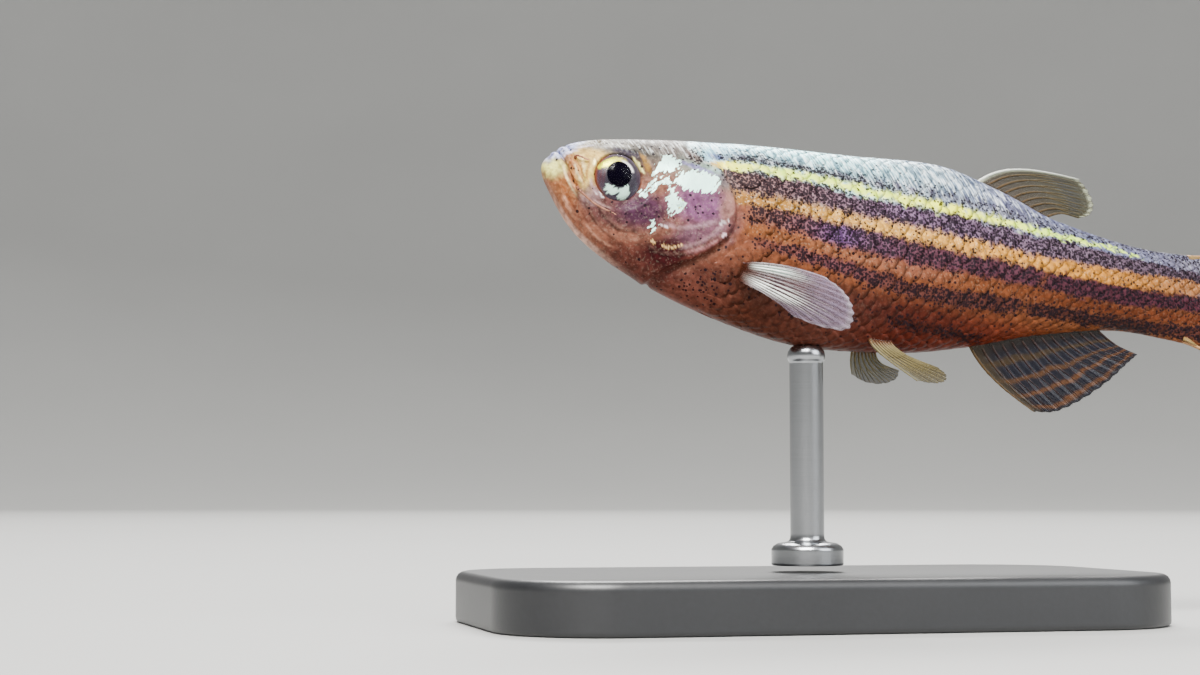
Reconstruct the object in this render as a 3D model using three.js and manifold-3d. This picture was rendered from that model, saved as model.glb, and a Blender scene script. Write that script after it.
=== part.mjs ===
// A zebra danio, made as a still, life-size display model on a small stand.
// Millimetres, +Z up. The origin is the middle of the base's underside. The fish faces -X, its left
// side faces -Y, and it is pitched head-up and banked on its rod.
//
// The fish has a frame of its own: x is the reach from the tip of the snout back to the tail, y is
// to the fish's right, and z is the height above the line from the snout to the tail fin's root.
import * as THREE from "three";
import { mergeVertices } from "three/addons/utils/BufferGeometryUtils.js";
import Module from "manifold-3d";

const wasm = await Module();
wasm.setup();

// Driving sizes of the whole
const BODY_LENGTH = 34; // snout to the root of the tail fin
const PITCH = THREE.MathUtils.degToRad(9.25); // head-up
const BANK = THREE.MathUtils.degToRad(7); // back away from the viewer of the left side
const BELLY_HEIGHT = 13; // the belly's lowest skin over the floor, where the rod meets it
const ROD_REACH = 13.9; // where along the fish that is
const GAP = 0.3; // between nodes that meet face to face
const LEFT = -1;
const RIGHT = 1;

// The trunk's outlines as [reach, size], smooth between the stations and blunt at the snout
const BACK_LINE = [
  [0, 0], [0.35, 0.58], [1.3, 1.35], [5, 2.27], [10, 3.0], [15, 3.5],
  [19.5, 3.95], [23, 3.3], [26, 2.42], [31, 1.92], [BODY_LENGTH, 2.1],
];
const BELLY_LINE = [
  [0, 0], [0.5, -1.12], [2.1, -2.98], [5, -4.5], [9.2, -5.7], [13.5, -6.26],
  [18.5, -5.7], [22, -4.8], [26, -3.45], [31, -2.45], [BODY_LENGTH, -2.5],
];
const HALF_WIDTH = [
  [0, 0], [0.4, 0.62], [1.3, 1.12], [3.4, 1.75], [7.5, 2.2], [13.5, 2.6],
  [18.5, 2.45], [24, 1.75], [30, 1.05], [BODY_LENGTH, 0.5],
];
// Height at which the body is widest
const BEAM_LEVEL = [
  [0, 0], [3.4, -0.6], [8, -1.3], [14, -1.9], [20, -1.2], [27, -0.5], [BODY_LENGTH, -0.2],
];
const BODY_SIDES = 36;
// The cross sections lie along the mouth at the snout. They turn in equal steps until they stand
// upright, and then follow each other closely over the gill cover and more widely over the trunk.
const TURNING_SECTIONS = 13;
const UPRIGHT_FROM = 5;
const CLOSE_STEP = 0.45;
const WIDE_FROM = 10;
const WIDE_STEP = 1;

// Eyes
const EYE_CENTRE = new THREE.Vector3(3.38, 1.2, -0.3);
const EYE_RADII = new THREE.Vector3(1.2, 0.82, 1.2);
const EYE_SEGMENTS = [18, 12];
const SOCKET_SEGMENTS = [22, 14];

// Mouth, on the side view: its line from the notch over the lower lip to the corner of the jaws
const GAPE_NOTCH = new THREE.Vector2(0.6, 0.76);
const GAPE_CORNER = new THREE.Vector2(1.45, -0.96);
const GAPE = { depth: 0.17, width: 0.055 };
const LOWER_LIP = { offset: 0.2, rise: 0.085, width: 0.1 };
const UPPER_LIP = { offset: -0.24, rise: 0.075, width: 0.11 };
const LIP_FOLD = { offset: -0.5, depth: 0.04, width: 0.1 };
// Offsets of the cross sections ahead of the mouth's line (the lower jaw) and behind it
const JAW_SECTIONS = [
  0.84, 0.7, 0.54, 0.4, 0.29, 0.2, 0.12, 0.05, 0, -0.05, -0.13, -0.24, -0.36, -0.5, -0.64,
];
// On the outline these lie between the belly's and the back's square roots of the reach
const OUTLINE_SEARCH = { belly: -2.2, chinFrom: -1.2, back: 1.6, step: 0.01 };

// Nostrils: pits between the eye and the upper lip
const NOSTRIL_REACH = 2.38;
const NOSTRIL_SIDE = 0.66;
const NOSTRIL_RADIUS = 0.2;

// Gill covers: the opening runs from the nape round the cover's rear edge to the throat, where it
// parts head and trunk
const GILL_OPENING = [
  [8.1, 4.2], [8.05, 1.6], [8.75, 0], [9.05, -1.3],
  [8.65, -2.5], [7.6, -3.5], [6.2, -4.25], [4.9, -5.6],
];
// How far the cover stands out, fading in behind the cheek and out under the nape
const GILL_COVER = { rise: 0.16, fadeIn: [4.8, 6.8], fadeOut: [0.4, 1.5] };
const VENT = [[21.2, 5.2], [21.45, -1], [21.8, -6.6]]; // parts trunk and tail

// Barbels: a short pair over the corners of the upper lip and a long pair that hangs back from the
// mouth's corners. Each springs from a place on the flank, so far off the skin, and bends through points
// that stand off it along the skin's normal and are then moved by [back, outward, up].
const SHORT_BARBEL = {
  place: [1.32, 0.42],
  springs: -0.25,
  bends: [
    { off: 0.45, by: [0.12, 0, -0.05] },
    { off: 0.55, by: [0.7, 0.2, -0.25] },
  ],
  rootRadius: 0.16,
  tipRadius: 0.08,
  sides: 6,
  steps: 6,
};
const LONG_BARBEL = {
  place: [GAPE_CORNER.x + 0.15, GAPE_CORNER.y - 0.1],
  springs: GAP,
  bends: [
    { off: 0.3, by: [0.12, 0, -0.1] },
    { off: 0.34, by: [0.95, 0.28, -0.75] },
    { off: 0.2, by: [1.95, 0.55, -1.15] },
  ],
  rootRadius: 0.25,
  tipRadius: 0.1,
  sides: 7,
  steps: 9,
};

// Fins
const MEMBRANE = 0.44; // thickness
const RAY_RIDGE = 0.07; // each ray's rise over the membrane, per face
const FIN_TIP = 0.24; // thickness at the margin
const MARGIN_NOTCH = 0.025; // how far the membrane falls short of the rays, as a share of their length
const ROOT_BLEND = 0.25; // share of a ray's length over which a thick root thins to the membrane
const TIP_BLEND = 0.6; // share of a ray's length past which the fin thins to its margin
const FAR_PECTORAL_LIFT = 0.7; // the right pectoral fin is held this much higher than the left

// Stand
const BASE_LENGTH = 32;
const BASE_DEPTH = 18;
const BASE_THICKNESS = 2.4;
const BASE_BEVEL = 0.4;
const BASE_CORNER = 5;
const ROD_RADIUS = 0.8;
const COLLAR_RADIUS = 1.7;
const COLLAR_HEIGHT = 1.1;
const COLLAR_STRAIGHT = 0.6; // share of the collar's height under its chamfer
const COLLAR_NECK = { radius: 0.72 * COLLAR_RADIUS, rise: 0.25 };

const FINISH = {
  skin: { color: 0xb58a72, roughness: 0.45, metalness: 0.15 },
  eye: { color: 0x14121c, roughness: 0.12, metalness: 0 },
  fin: { color: 0xc9c3b2, roughness: 0.4, metalness: 0 },
  base: { color: 0x34363a, roughness: 0.5, metalness: 0 },
  rod: { color: 0xb9bcc0, roughness: 0.3, metalness: 1 },
};

// Smooth curve through [x, y] stations, monotone between them, and in the square root of x, which
// rounds the end at x = 0.
function smoothLine(stations) {
  const q = stations.map(([x]) => Math.sqrt(x));
  const y = stations.map((s) => s[1]);
  const slopes = q.slice(1).map((v, i) => (y[i + 1] - y[i]) / (v - q[i]));
  const tangents = q.map((v, i) => {
    if (i === 0) {
      return slopes[0];
    }
    if (i === q.length - 1) {
      return slopes[i - 1];
    }
    const [before, after] = [slopes[i - 1], slopes[i]];
    return before * after <= 0 ? 0 : (2 * before * after) / (before + after);
  });
  return (x) => {
    const v = Math.sqrt(Math.max(0, x));
    let i = 0;
    while (i < q.length - 2 && v > q[i + 1]) {
      i++;
    }
    const span = q[i + 1] - q[i];
    const s = Math.min(1, (v - q[i]) / span);
    const h = 1 - s;
    return (
      y[i] * h * h * (1 + 2 * s) +
      y[i + 1] * s * s * (3 - 2 * s) +
      tangents[i] * span * s * h * h -
      tangents[i + 1] * span * s * s * h
    );
  };
}
const backAt = smoothLine(BACK_LINE);
const bellyAt = smoothLine(BELLY_LINE);
const halfWidthAt = smoothLine(HALF_WIDTH);
const beamLevelAt = smoothLine(BEAM_LEVEL);

// Half the body's width at a reach and a height: an ellipse over the widest level and another under it
function flankAt(x, z) {
  const level = beamLevelAt(x);
  const half = z > level ? backAt(x) - level : level - bellyAt(x);
  const share = Math.min(1, Math.abs(z - level) / half);
  return halfWidthAt(x) * Math.sqrt(1 - share * share);
}

// A point of the flank, lifted off the skin along its normal
function onFlank(x, z, side, lift = 0) {
  const d = 0.02;
  const slopeX = (flankAt(x + d, z) - flankAt(x - d, z)) / (2 * d);
  const slopeZ = (flankAt(x, z + d) - flankAt(x, z - d)) / (2 * d);
  const normal = new THREE.Vector3(-slopeX, 1, -slopeZ).normalize();
  const point = new THREE.Vector3(x, flankAt(x, z), z).addScaledVector(normal, lift);
  point.y *= side;
  normal.y *= side;
  return { point, normal };
}

// Closed meshes to manifold solids and back
function solidOf(geometry) {
  const bare = new THREE.BufferGeometry().setAttribute("position", geometry.getAttribute("position"));
  if (geometry.index) {
    bare.setIndex(geometry.index);
  }
  const merged = mergeVertices(bare, 1e-5);
  return new wasm.Manifold(
    new wasm.Mesh({
      numProp: 3,
      vertProperties: new Float32Array(merged.attributes.position.array),
      triVerts: new Uint32Array(merged.index.array),
    }),
  );
}
function geometryOf(solid) {
  const mesh = solid.getMesh();
  const positions = new Float32Array(mesh.numVert * 3);
  for (let i = 0; i < mesh.numVert; i++) {
    positions.set(mesh.vertProperties.subarray(i * mesh.numProp, i * mesh.numProp + 3), i * 3);
  }
  return new THREE.BufferGeometry()
    .setAttribute("position", new THREE.BufferAttribute(positions, 3))
    .setIndex(new THREE.BufferAttribute(new Uint32Array(mesh.triVerts), 1));
}
function largestPiece(solid) {
  return solid.decompose().reduce((best, piece) => (piece.volume() > best.volume() ? piece : best));
}

// A closed mesh's triangles turned over where its faces point inwards
function facingOut(geometry) {
  if (solidOf(geometry).volume() > 0) {
    return geometry;
  }
  const faces = Array.from(geometry.index.array);
  for (let i = 0; i < faces.length; i += 3) {
    [faces[i + 1], faces[i + 2]] = [faces[i + 2], faces[i + 1]];
  }
  return geometry.setIndex(faces);
}

// A closed surface from rings of points, each end shut by a fan to a point
function skinOver(rings, startPoint, endPoint) {
  const count = rings[0].length;
  const points = [startPoint, ...rings.flat(), endPoint];
  const at = (i, j) => 1 + i * count + (j % count);
  const last = points.length - 1;
  const faces = [];
  for (let j = 0; j < count; j++) {
    faces.push(0, at(0, j + 1), at(0, j));
    faces.push(last, at(rings.length - 1, j), at(rings.length - 1, j + 1));
    for (let i = 0; i < rings.length - 1; i++) {
      faces.push(at(i, j), at(i, j + 1), at(i + 1, j));
      faces.push(at(i, j + 1), at(i + 1, j + 1), at(i + 1, j));
    }
  }
  return solidOf(facingOut(new THREE.BufferGeometry().setFromPoints(points).setIndex(faces)));
}

// The side view's outline as one line: s is the root of the reach, below zero along the belly, zero at
// the tip of the snout and above zero along the back
function outlineAt(s) {
  return new THREE.Vector2(s * s, s < 0 ? bellyAt(s * s) : backAt(s * s));
}
const gapeLine = GAPE_CORNER.clone().sub(GAPE_NOTCH);
const gapeLength = gapeLine.length();
const gapeAlong = gapeLine.normalize();
const gapeAhead = new THREE.Vector2(gapeAlong.y, -gapeAlong.x);
const aheadOfGape = (p) => gapeAhead.dot(p.clone().sub(GAPE_NOTCH));

// The cross sections, each from a place on the belly's outline to one on the back's
function sectionEnds() {
  const { belly: bellyLimit, chinFrom, back: backLimit, step } = OUTLINE_SEARCH;
  let chin = chinFrom;
  for (let s = chinFrom; s < 0; s += step) {
    if (aheadOfGape(outlineAt(s)) > aheadOfGape(outlineAt(chin))) {
      chin = s;
    }
  }
  const crossing = (offset, far) => {
    const halvings = 40;
    let [inside, outside] = [chin, far];
    for (let i = 0; i < halvings; i++) {
      const middle = (inside + outside) / 2;
      if (aheadOfGape(outlineAt(middle)) > offset) {
        inside = middle;
      } else {
        outside = middle;
      }
    }
    return inside;
  };
  const ends = JAW_SECTIONS.map((offset) => [crossing(offset, bellyLimit), crossing(offset, backLimit)]);
  const [fromBelly, fromBack] = ends.at(-1).map((s) => s * s);
  for (let i = 1; i <= TURNING_SECTIONS; i++) {
    const share = i / TURNING_SECTIONS;
    const belly = THREE.MathUtils.lerp(fromBelly, UPRIGHT_FROM, share);
    const back = THREE.MathUtils.lerp(fromBack, UPRIGHT_FROM, share);
    ends.push([-Math.sqrt(belly), Math.sqrt(back)]);
  }
  const upright = (x) => ends.push([-Math.sqrt(x), Math.sqrt(x)]);
  for (let x = UPRIGHT_FROM + CLOSE_STEP; x < WIDE_FROM; x += CLOSE_STEP) {
    upright(x);
  }
  for (let x = WIDE_FROM; x <= BODY_LENGTH; x += WIDE_STEP) {
    upright(x);
  }
  return { chin, ends };
}

// Swells and hollows of the head's skin
const bump = (distance, width) => Math.exp(-((distance / width) ** 2));
function mouthRelief(p) {
  const ahead = aheadOfGape(p);
  const along = gapeAlong.dot(p.clone().sub(GAPE_NOTCH));
  const cornerFade = 0.15;
  const fade = 1 - THREE.MathUtils.smoothstep(along, gapeLength - cornerFade, gapeLength + cornerFade);
  const lips =
    LOWER_LIP.rise * bump(ahead - LOWER_LIP.offset, LOWER_LIP.width) +
    UPPER_LIP.rise * bump(ahead - UPPER_LIP.offset, UPPER_LIP.width) -
    LIP_FOLD.depth * bump(ahead - LIP_FOLD.offset, LIP_FOLD.width);
  return fade * (lips - GAPE.depth * bump(ahead, GAPE.width));
}
function gillCoverRelief(p) {
  const behindCheek = THREE.MathUtils.smoothstep(p.x, ...GILL_COVER.fadeIn);
  const belowNape = 1 - THREE.MathUtils.smoothstep(p.y, ...GILL_COVER.fadeOut);
  return GILL_COVER.rise * behindCheek * belowNape;
}

// The whole body, as smooth sections pushed in or out along the skin's normal by reliefAt
function bodySolid(reliefAt) {
  const { chin, ends } = sectionEnds();
  const half = BODY_SIDES / 2;
  const rings = ends.map(([low, high]) => {
    const [belly, back] = [outlineAt(low), outlineAt(high)];
    return Array.from({ length: BODY_SIDES }, (_, j) => {
      const share = (1 - Math.cos((Math.PI * j) / half)) / 2;
      const p = belly.clone().lerp(back, share);
      const side = j < half ? RIGHT : LEFT;
      const isOnMidline = j % half === 0;
      return new THREE.Vector3(p.x, isOnMidline ? 0 : side * flankAt(p.x, p.y), p.y);
    });
  });
  const shaped = rings.map((ring, i) =>
    ring.map((point, j) => {
      const relief = reliefAt(new THREE.Vector2(point.x, point.z));
      if (relief === 0) {
        return point;
      }
      const next = ring[(j + 1) % BODY_SIDES];
      const last = ring[(j + BODY_SIDES - 1) % BODY_SIDES];
      const behind = rings[Math.min(i + 1, rings.length - 1)][j];
      const ahead = rings[Math.max(i - 1, 0)][j];
      const around = next.clone().sub(last);
      const along = behind.clone().sub(ahead);
      return point.clone().addScaledVector(around.cross(along).normalize(), -relief);
    }),
  );
  const tip = outlineAt(chin);
  const rear = (backAt(BODY_LENGTH) + bellyAt(BODY_LENGTH)) / 2;
  return skinOver(shaped, new THREE.Vector3(tip.x, 0, tip.y), new THREE.Vector3(BODY_LENGTH, 0, rear));
}

// A cutter as wide as GAP along a line drawn on the side view, right through the body
function thinCut(line) {
  const curve = new THREE.SplineCurve(line.map(([x, z]) => new THREE.Vector2(x, z)));
  const steps = 26;
  const edges = [[], []];
  for (let i = 0; i <= steps; i++) {
    const point = curve.getPointAt(i / steps);
    const tangent = curve.getTangentAt(i / steps);
    const aside = new THREE.Vector2(-tangent.y, tangent.x).multiplyScalar(GAP / 2);
    edges[0].push(point.clone().add(aside));
    edges[1].push(point.clone().sub(aside));
  }
  const shape = new THREE.Shape([...edges[0], ...edges[1].reverse()]);
  return acrossBody(shape);
}
function acrossBody(shape) {
  const depth = 8;
  const geometry = new THREE.ExtrudeGeometry(shape, { depth, bevelEnabled: false });
  geometry.translate(0, 0, -depth / 2).rotateX(Math.PI / 2);
  return solidOf(geometry);
}

// A round tube that tapers along a curve, with a point in each end
function taperedTube(path, radiusAt, sides, steps) {
  const rings = [];
  for (let i = 0; i <= steps; i++) {
    const point = path.getPoint(i / steps);
    const along = path.getTangent(i / steps);
    const across = new THREE.Vector3(0, 0, 1).cross(along);
    across.normalize();
    const upward = along.clone().cross(across);
    rings.push(
      Array.from({ length: sides }, (_, j) => {
        const turn = (2 * Math.PI * j) / sides;
        return point
          .clone()
          .addScaledVector(across, radiusAt(i / steps) * Math.cos(turn))
          .addScaledVector(upward, radiusAt(i / steps) * Math.sin(turn));
      }),
    );
  }
  return skinOver(rings, path.getPoint(0), path.getPoint(1));
}

function nostrilPit(side) {
  const level = beamLevelAt(NOSTRIL_REACH);
  const share = NOSTRIL_SIDE / halfWidthAt(NOSTRIL_REACH);
  const z = level + (backAt(NOSTRIL_REACH) - level) * Math.sqrt(1 - share * share);
  const ball = new THREE.SphereGeometry(NOSTRIL_RADIUS, 10, 8);
  return solidOf(ball.translate(NOSTRIL_REACH, side * NOSTRIL_SIDE, z));
}

function barbel(side, { place, springs, bends, rootRadius, tipRadius, sides, steps }) {
  const { point, normal } = onFlank(...place, side, springs);
  const turns = bends.map(({ off, by: [back, outward, up] }) => {
    const turn = point.clone().addScaledVector(normal, off);
    return turn.add(new THREE.Vector3(back, side * outward, up));
  });
  const path = new THREE.CatmullRomCurve3([point, ...turns]);
  return taperedTube(path, (s) => THREE.MathUtils.lerp(rootRadius, tipRadius, s), sides, steps);
}

// Fin: rays run from a root line to points along a margin. Every second column of the mesh is a
// ray's ridge, the others are membrane, and both faces share one grid.
function fin({ rays, rows, rootAt, leaveAt, margin, bowAt, swayAt, rootThickness = MEMBRANE }) {
  const tips = new THREE.CatmullRomCurve3(margin);
  const columns = 2 * rays - 1;
  const centre = (t, v) => {
    const isMembrane = Math.round(t * (columns - 1)) % 2 === 1;
    const reach = v * (isMembrane ? 1 - MARGIN_NOTCH * v : 1);
    const root = rootAt(t);
    const tip = tips.getPoint(t);
    const first = root.clone().add(leaveAt(t));
    const second = root.clone().lerp(tip, 0.5).add(bowAt(t));
    const curve = new THREE.CubicBezierCurve3(root, first, second, tip);
    const point = curve.getPoint(reach);
    point.y += swayAt(t, v);
    return point;
  };
  const d = 0.01;
  const raySpacing = 2 / (columns - 1);
  const faces = [[], []];
  for (let i = 0; i < columns; i++) {
    for (let k = 0; k <= rows; k++) {
      const t = i / (columns - 1);
      const v = k / rows;
      const here = centre(t, v);
      const flow = centre(t, Math.min(1, v + d)).sub(centre(t, Math.max(0, v - d)));
      const spread = centre(Math.min(1, t + raySpacing), v).sub(centre(Math.max(0, t - raySpacing), v));
      const normal = spread.cross(flow).normalize();
      const ridge = i % 2 === 0 ? 2 * RAY_RIDGE * Math.sqrt(1 - v) : 0;
      const fromRoot = THREE.MathUtils.smoothstep(v, 0, ROOT_BLEND);
      const toMargin = THREE.MathUtils.smoothstep(v, TIP_BLEND, 1);
      const skinned = THREE.MathUtils.lerp(rootThickness, MEMBRANE, fromRoot);
      const thickness = THREE.MathUtils.lerp(skinned, FIN_TIP, toMargin) + ridge;
      faces[0].push(here.clone().addScaledVector(normal, thickness / 2));
      faces[1].push(here.clone().addScaledVector(normal, -thickness / 2));
    }
  }
  const half = faces[0].length;
  const at = (face, i, k) => face * half + i * (rows + 1) + k;
  const triangles = [];
  const quad = (a, b, c, e) => triangles.push(a, b, c, a, c, e);
  for (let i = 0; i < columns - 1; i++) {
    for (let k = 0; k < rows; k++) {
      quad(at(0, i, k), at(0, i + 1, k), at(0, i + 1, k + 1), at(0, i, k + 1));
      triangles.push(at(1, i, k), at(1, i + 1, k + 1), at(1, i + 1, k));
      triangles.push(at(1, i, k), at(1, i, k + 1), at(1, i + 1, k + 1));
    }
    quad(at(0, i, 0), at(1, i, 0), at(1, i + 1, 0), at(0, i + 1, 0));
    quad(at(0, i, rows), at(0, i + 1, rows), at(1, i + 1, rows), at(1, i, rows));
  }
  for (let k = 0; k < rows; k++) {
    quad(at(0, 0, k), at(0, 0, k + 1), at(1, 0, k + 1), at(1, 0, k));
    const end = columns - 1;
    quad(at(0, end, k), at(1, end, k), at(1, end, k + 1), at(0, end, k + 1));
  }
  return facingOut(new THREE.BufferGeometry().setFromPoints(faces.flat()).setIndex(triangles));
}
const inPlane = (pairs) => pairs.map(([x, z]) => new THREE.Vector3(x, 0, z));

function dorsalFin() {
  const [from, to] = [21.75, 25.4];
  return fin({
    rays: 9,
    rows: 8,
    rootAt: (t) => {
      const x = THREE.MathUtils.lerp(from, to, t);
      return new THREE.Vector3(x, 0, backAt(x) + GAP);
    },
    leaveAt: (t) => new THREE.Vector3(1.1, 0, 0.85 - 0.6 * t),
    margin: inPlane([[27.2, 4.82], [27.75, 4.4], [28.12, 3.7], [27.9, 3.1], [27.3, 2.78]]),
    bowAt: (t) => new THREE.Vector3(0, 0, 0.5 * (1 - t) + 0.05),
    swayAt: (t, v) => 0.12 * v * v * Math.sin(5 * t),
  });
}

function analFin() {
  const [from, to] = [22.2, 28.7];
  return fin({
    rays: 14,
    rows: 7,
    rootAt: (t) => {
      const x = THREE.MathUtils.lerp(from, to, t);
      return new THREE.Vector3(x, 0, bellyAt(x) - GAP);
    },
    leaveAt: (t) => new THREE.Vector3(0.7 + 0.4 * t, 0, -0.8 + 0.5 * t),
    margin: inPlane([[25.9, -7.3], [27, -7.1], [28.3, -6.3], [29.6, -5.15], [30.5, -4.1], [31, -3.55]]),
    bowAt: (t) => new THREE.Vector3(0.1, 0, -0.35 * (1 - t)),
    swayAt: (t, v) => 0.15 * v * v * Math.sin(4 * t + 1),
  });
}

function tailFin() {
  const inset = 0.12;
  const [top, bottom] = [backAt(BODY_LENGTH) - inset, bellyAt(BODY_LENGTH) + inset];
  return fin({
    rays: 19,
    rows: 9,
    rootAt: (t) => new THREE.Vector3(BODY_LENGTH + GAP, 0, THREE.MathUtils.lerp(top, bottom, t)),
    leaveAt: (t) => new THREE.Vector3(2, 0, 0.35 * (1 - 2 * t)),
    margin: inPlane([
      [41.4, 5.15], [42.5, 4.75], [42.5, 3.6], [41.1, 2.1], [39.6, 0.7],
      [39.2, -0.2], [39.6, -1.1], [41.1, -2.6], [42.6, -4.2], [42.6, -5.4], [41.4, -5.8],
    ]),
    bowAt: (t) => new THREE.Vector3(0, 0, 0.25 * (1 - 2 * t)),
    rootThickness: 0.8,
    swayAt: (t, v) => 0.9 * v * v + 0.12 * v * Math.sin(9 * t),
  });
}

// A paired fin's root line runs along the flank, GAP off the skin, and the rays leave square to it
function pairedFin(side, { rays, rows, rootLine, margin, lift, bow, sway }) {
  const rootOf = (t) => {
    const [[x0, z0], [x1, z1]] = rootLine;
    return onFlank(THREE.MathUtils.lerp(x0, x1, t), THREE.MathUtils.lerp(z0, z1, t), side, GAP);
  };
  return fin({
    rays,
    rows,
    rootAt: (t) => rootOf(t).point,
    leaveAt: (t) => rootOf(t).normal.multiplyScalar(lift),
    margin: margin.map(([x, y, z]) => new THREE.Vector3(x, side * y, z)),
    bowAt: () => new THREE.Vector3(bow[0], side * bow[1], bow[2]),
    swayAt: (t, v) => side * sway * v * v * Math.sin(6 * t),
  });
}
const pectoralFin = (side) =>
  pairedFin(side, {
    rays: 12,
    rows: 9,
    rootLine: [[9.75, -3.3], [9.55, -4.4]],
    margin: [
      [13.9, 3.7, -3.55], [14.5, 3.75, -4.15], [14.85, 3.7, -4.9], [14.8, 3.55, -5.6],
      [14.2, 3.35, -5.95], [13.2, 3.1, -5.9], [12.2, 2.85, -5.6],
    ].map(([x, y, z]) => (side === LEFT ? [x, y, z] : [x + 0.2, y, z + FAR_PECTORAL_LIFT])),
    lift: 0.8,
    bow: [-0.3, 0.5, 0.28],
    sway: 0.1,
  });
const PELVIC_MARGINS = {
  [LEFT]: [
    [18.9, 1.9, -7.35], [19.7, 2, -7.35], [20.3, 1.9, -7.1], [20.45, 1.65, -6.7], [20.1, 1.4, -6.4],
  ],
  [RIGHT]: [
    [17.1, 2.1, -6.65], [17.9, 2.2, -6.85], [18.8, 2.1, -6.8], [19.3, 1.9, -6.5], [19.3, 1.6, -6.15],
  ],
};
const pelvicFin = (side) =>
  pairedFin(side, {
    rays: 8,
    rows: 7,
    rootLine: [[16.6, -5.6], [17.7, -5.5]],
    margin: PELVIC_MARGINS[side],
    lift: 0.5,
    bow: [0, 0.1, -0.1],
    sway: 0.08,
  });

// Stand
function standBase() {
  const [hx, hy, r] = [BASE_LENGTH / 2 - BASE_BEVEL, BASE_DEPTH / 2 - BASE_BEVEL, BASE_CORNER];
  const shape = new THREE.Shape();
  shape.moveTo(-hx + r, -hy);
  shape.lineTo(hx - r, -hy);
  shape.absarc(hx - r, -hy + r, r, -Math.PI / 2, 0);
  shape.lineTo(hx, hy - r);
  shape.absarc(hx - r, hy - r, r, 0, Math.PI / 2);
  shape.lineTo(-hx + r, hy);
  shape.absarc(-hx + r, hy - r, r, Math.PI / 2, Math.PI);
  shape.lineTo(-hx, -hy + r);
  shape.absarc(-hx + r, -hy + r, r, Math.PI, 1.5 * Math.PI);
  const plate = new THREE.ExtrudeGeometry(shape, {
    depth: BASE_THICKNESS - 2 * BASE_BEVEL,
    bevelThickness: BASE_BEVEL,
    bevelSize: BASE_BEVEL,
    bevelSegments: 1,
    curveSegments: 6,
  });
  return plate.translate(0, 0, BASE_BEVEL);
}
function standRod() {
  const foot = BASE_THICKNESS + GAP;
  const top = BELLY_HEIGHT - GAP;
  const profile = [
    [0, foot], [COLLAR_RADIUS, foot], [COLLAR_RADIUS, foot + COLLAR_STRAIGHT * COLLAR_HEIGHT],
    [COLLAR_NECK.radius, foot + COLLAR_HEIGHT], [ROD_RADIUS, foot + COLLAR_HEIGHT + COLLAR_NECK.rise],
    [ROD_RADIUS, top], [0, top],
  ];
  const lathe = new THREE.LatheGeometry(profile.map(([r, z]) => new THREE.Vector2(r, z)), 20);
  return lathe.rotateX(Math.PI / 2);
}

// Assembly
const model = new THREE.Group();
const banked = new THREE.Group();
banked.rotation.x = -BANK;
const fish = new THREE.Group();
fish.rotation.y = PITCH;
fish.add(banked);
model.add(fish);

// The rod meets the belly's lowest point, over the middle of the base
const turn = new THREE.Matrix4().makeRotationY(PITCH).multiply(new THREE.Matrix4().makeRotationX(-BANK));
const seat = new THREE.Vector3(0, 0, Infinity);
const searchStep = 0.02;
for (let y = -2; y <= 0; y += searchStep) {
  const level = beamLevelAt(ROD_REACH);
  const drop = (level - bellyAt(ROD_REACH)) * Math.sqrt(1 - (y / halfWidthAt(ROD_REACH)) ** 2);
  const point = new THREE.Vector3(ROD_REACH, y, level - drop).applyMatrix4(turn);
  if (point.z < seat.z) {
    seat.copy(point);
  }
}
fish.position.set(-seat.x, -seat.y, BELLY_HEIGHT - seat.z);

function addNode(parent, name, geometry, finish) {
  const material = new THREE.MeshStandardMaterial({ ...FINISH[finish], name: finish });
  const mesh = new THREE.Mesh(geometry, material);
  mesh.name = name;
  parent.add(mesh);
}

// Flesh: one body parted at the gill opening and at the vent, the head from a body whose gill covers
// are raised and the rest from one without
const [headCut, ventCut] = [thinCut(GILL_OPENING), thinCut(VENT)];
const foremostFirst = (a, b) => a.boundingBox().min[0] - b.boundingBox().min[0];
const sliver = 1; // pieces of the cut body with less volume than this are dropped
const sizeable = (piece) => piece.volume() > sliver;
const raised = bodySolid((p) => mouthRelief(p) + gillCoverRelief(p)).subtract(headCut);
let [head] = raised.decompose().filter(sizeable).sort(foremostFirst);
const smooth = bodySolid(() => 0).subtract(headCut).subtract(ventCut);
const [, trunk, tail] = smooth.decompose().filter(sizeable).sort(foremostFirst);

for (const side of [LEFT, RIGHT]) {
  const socket = new THREE.SphereGeometry(1, ...SOCKET_SEGMENTS).rotateX(Math.PI / 2);
  socket.scale(EYE_RADII.x + GAP, EYE_RADII.y + GAP, EYE_RADII.z + GAP);
  head = head.subtract(solidOf(socket.translate(EYE_CENTRE.x, side * EYE_CENTRE.y, EYE_CENTRE.z)));
  head = head.subtract(nostrilPit(side)).add(barbel(side, SHORT_BARBEL));
}
addNode(banked, "head", geometryOf(largestPiece(head)), "skin");
addNode(banked, "trunk", geometryOf(largestPiece(trunk)), "skin");
addNode(banked, "tail", geometryOf(largestPiece(tail)), "skin");

for (const [side, word] of [[LEFT, "left"], [RIGHT, "right"]]) {
  const eye = new THREE.SphereGeometry(1, ...EYE_SEGMENTS).scale(EYE_RADII.x, EYE_RADII.y, EYE_RADII.z);
  eye.translate(EYE_CENTRE.x, side * EYE_CENTRE.y, EYE_CENTRE.z);
  addNode(banked, `eye_${word}`, eye, "eye");
  addNode(banked, `barbel_${word}`, geometryOf(barbel(side, LONG_BARBEL)), "skin");
  addNode(banked, `pectoral_fin_${word}`, pectoralFin(side), "fin");
  addNode(banked, `pelvic_fin_${word}`, pelvicFin(side), "fin");
}
addNode(banked, "dorsal_fin", dorsalFin(), "fin");
addNode(banked, "anal_fin", analFin(), "fin");
addNode(banked, "tail_fin", tailFin(), "fin");

addNode(model, "stand_base", standBase(), "base");
addNode(model, "stand_rod", standRod(), "rod");

export default model;
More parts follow.
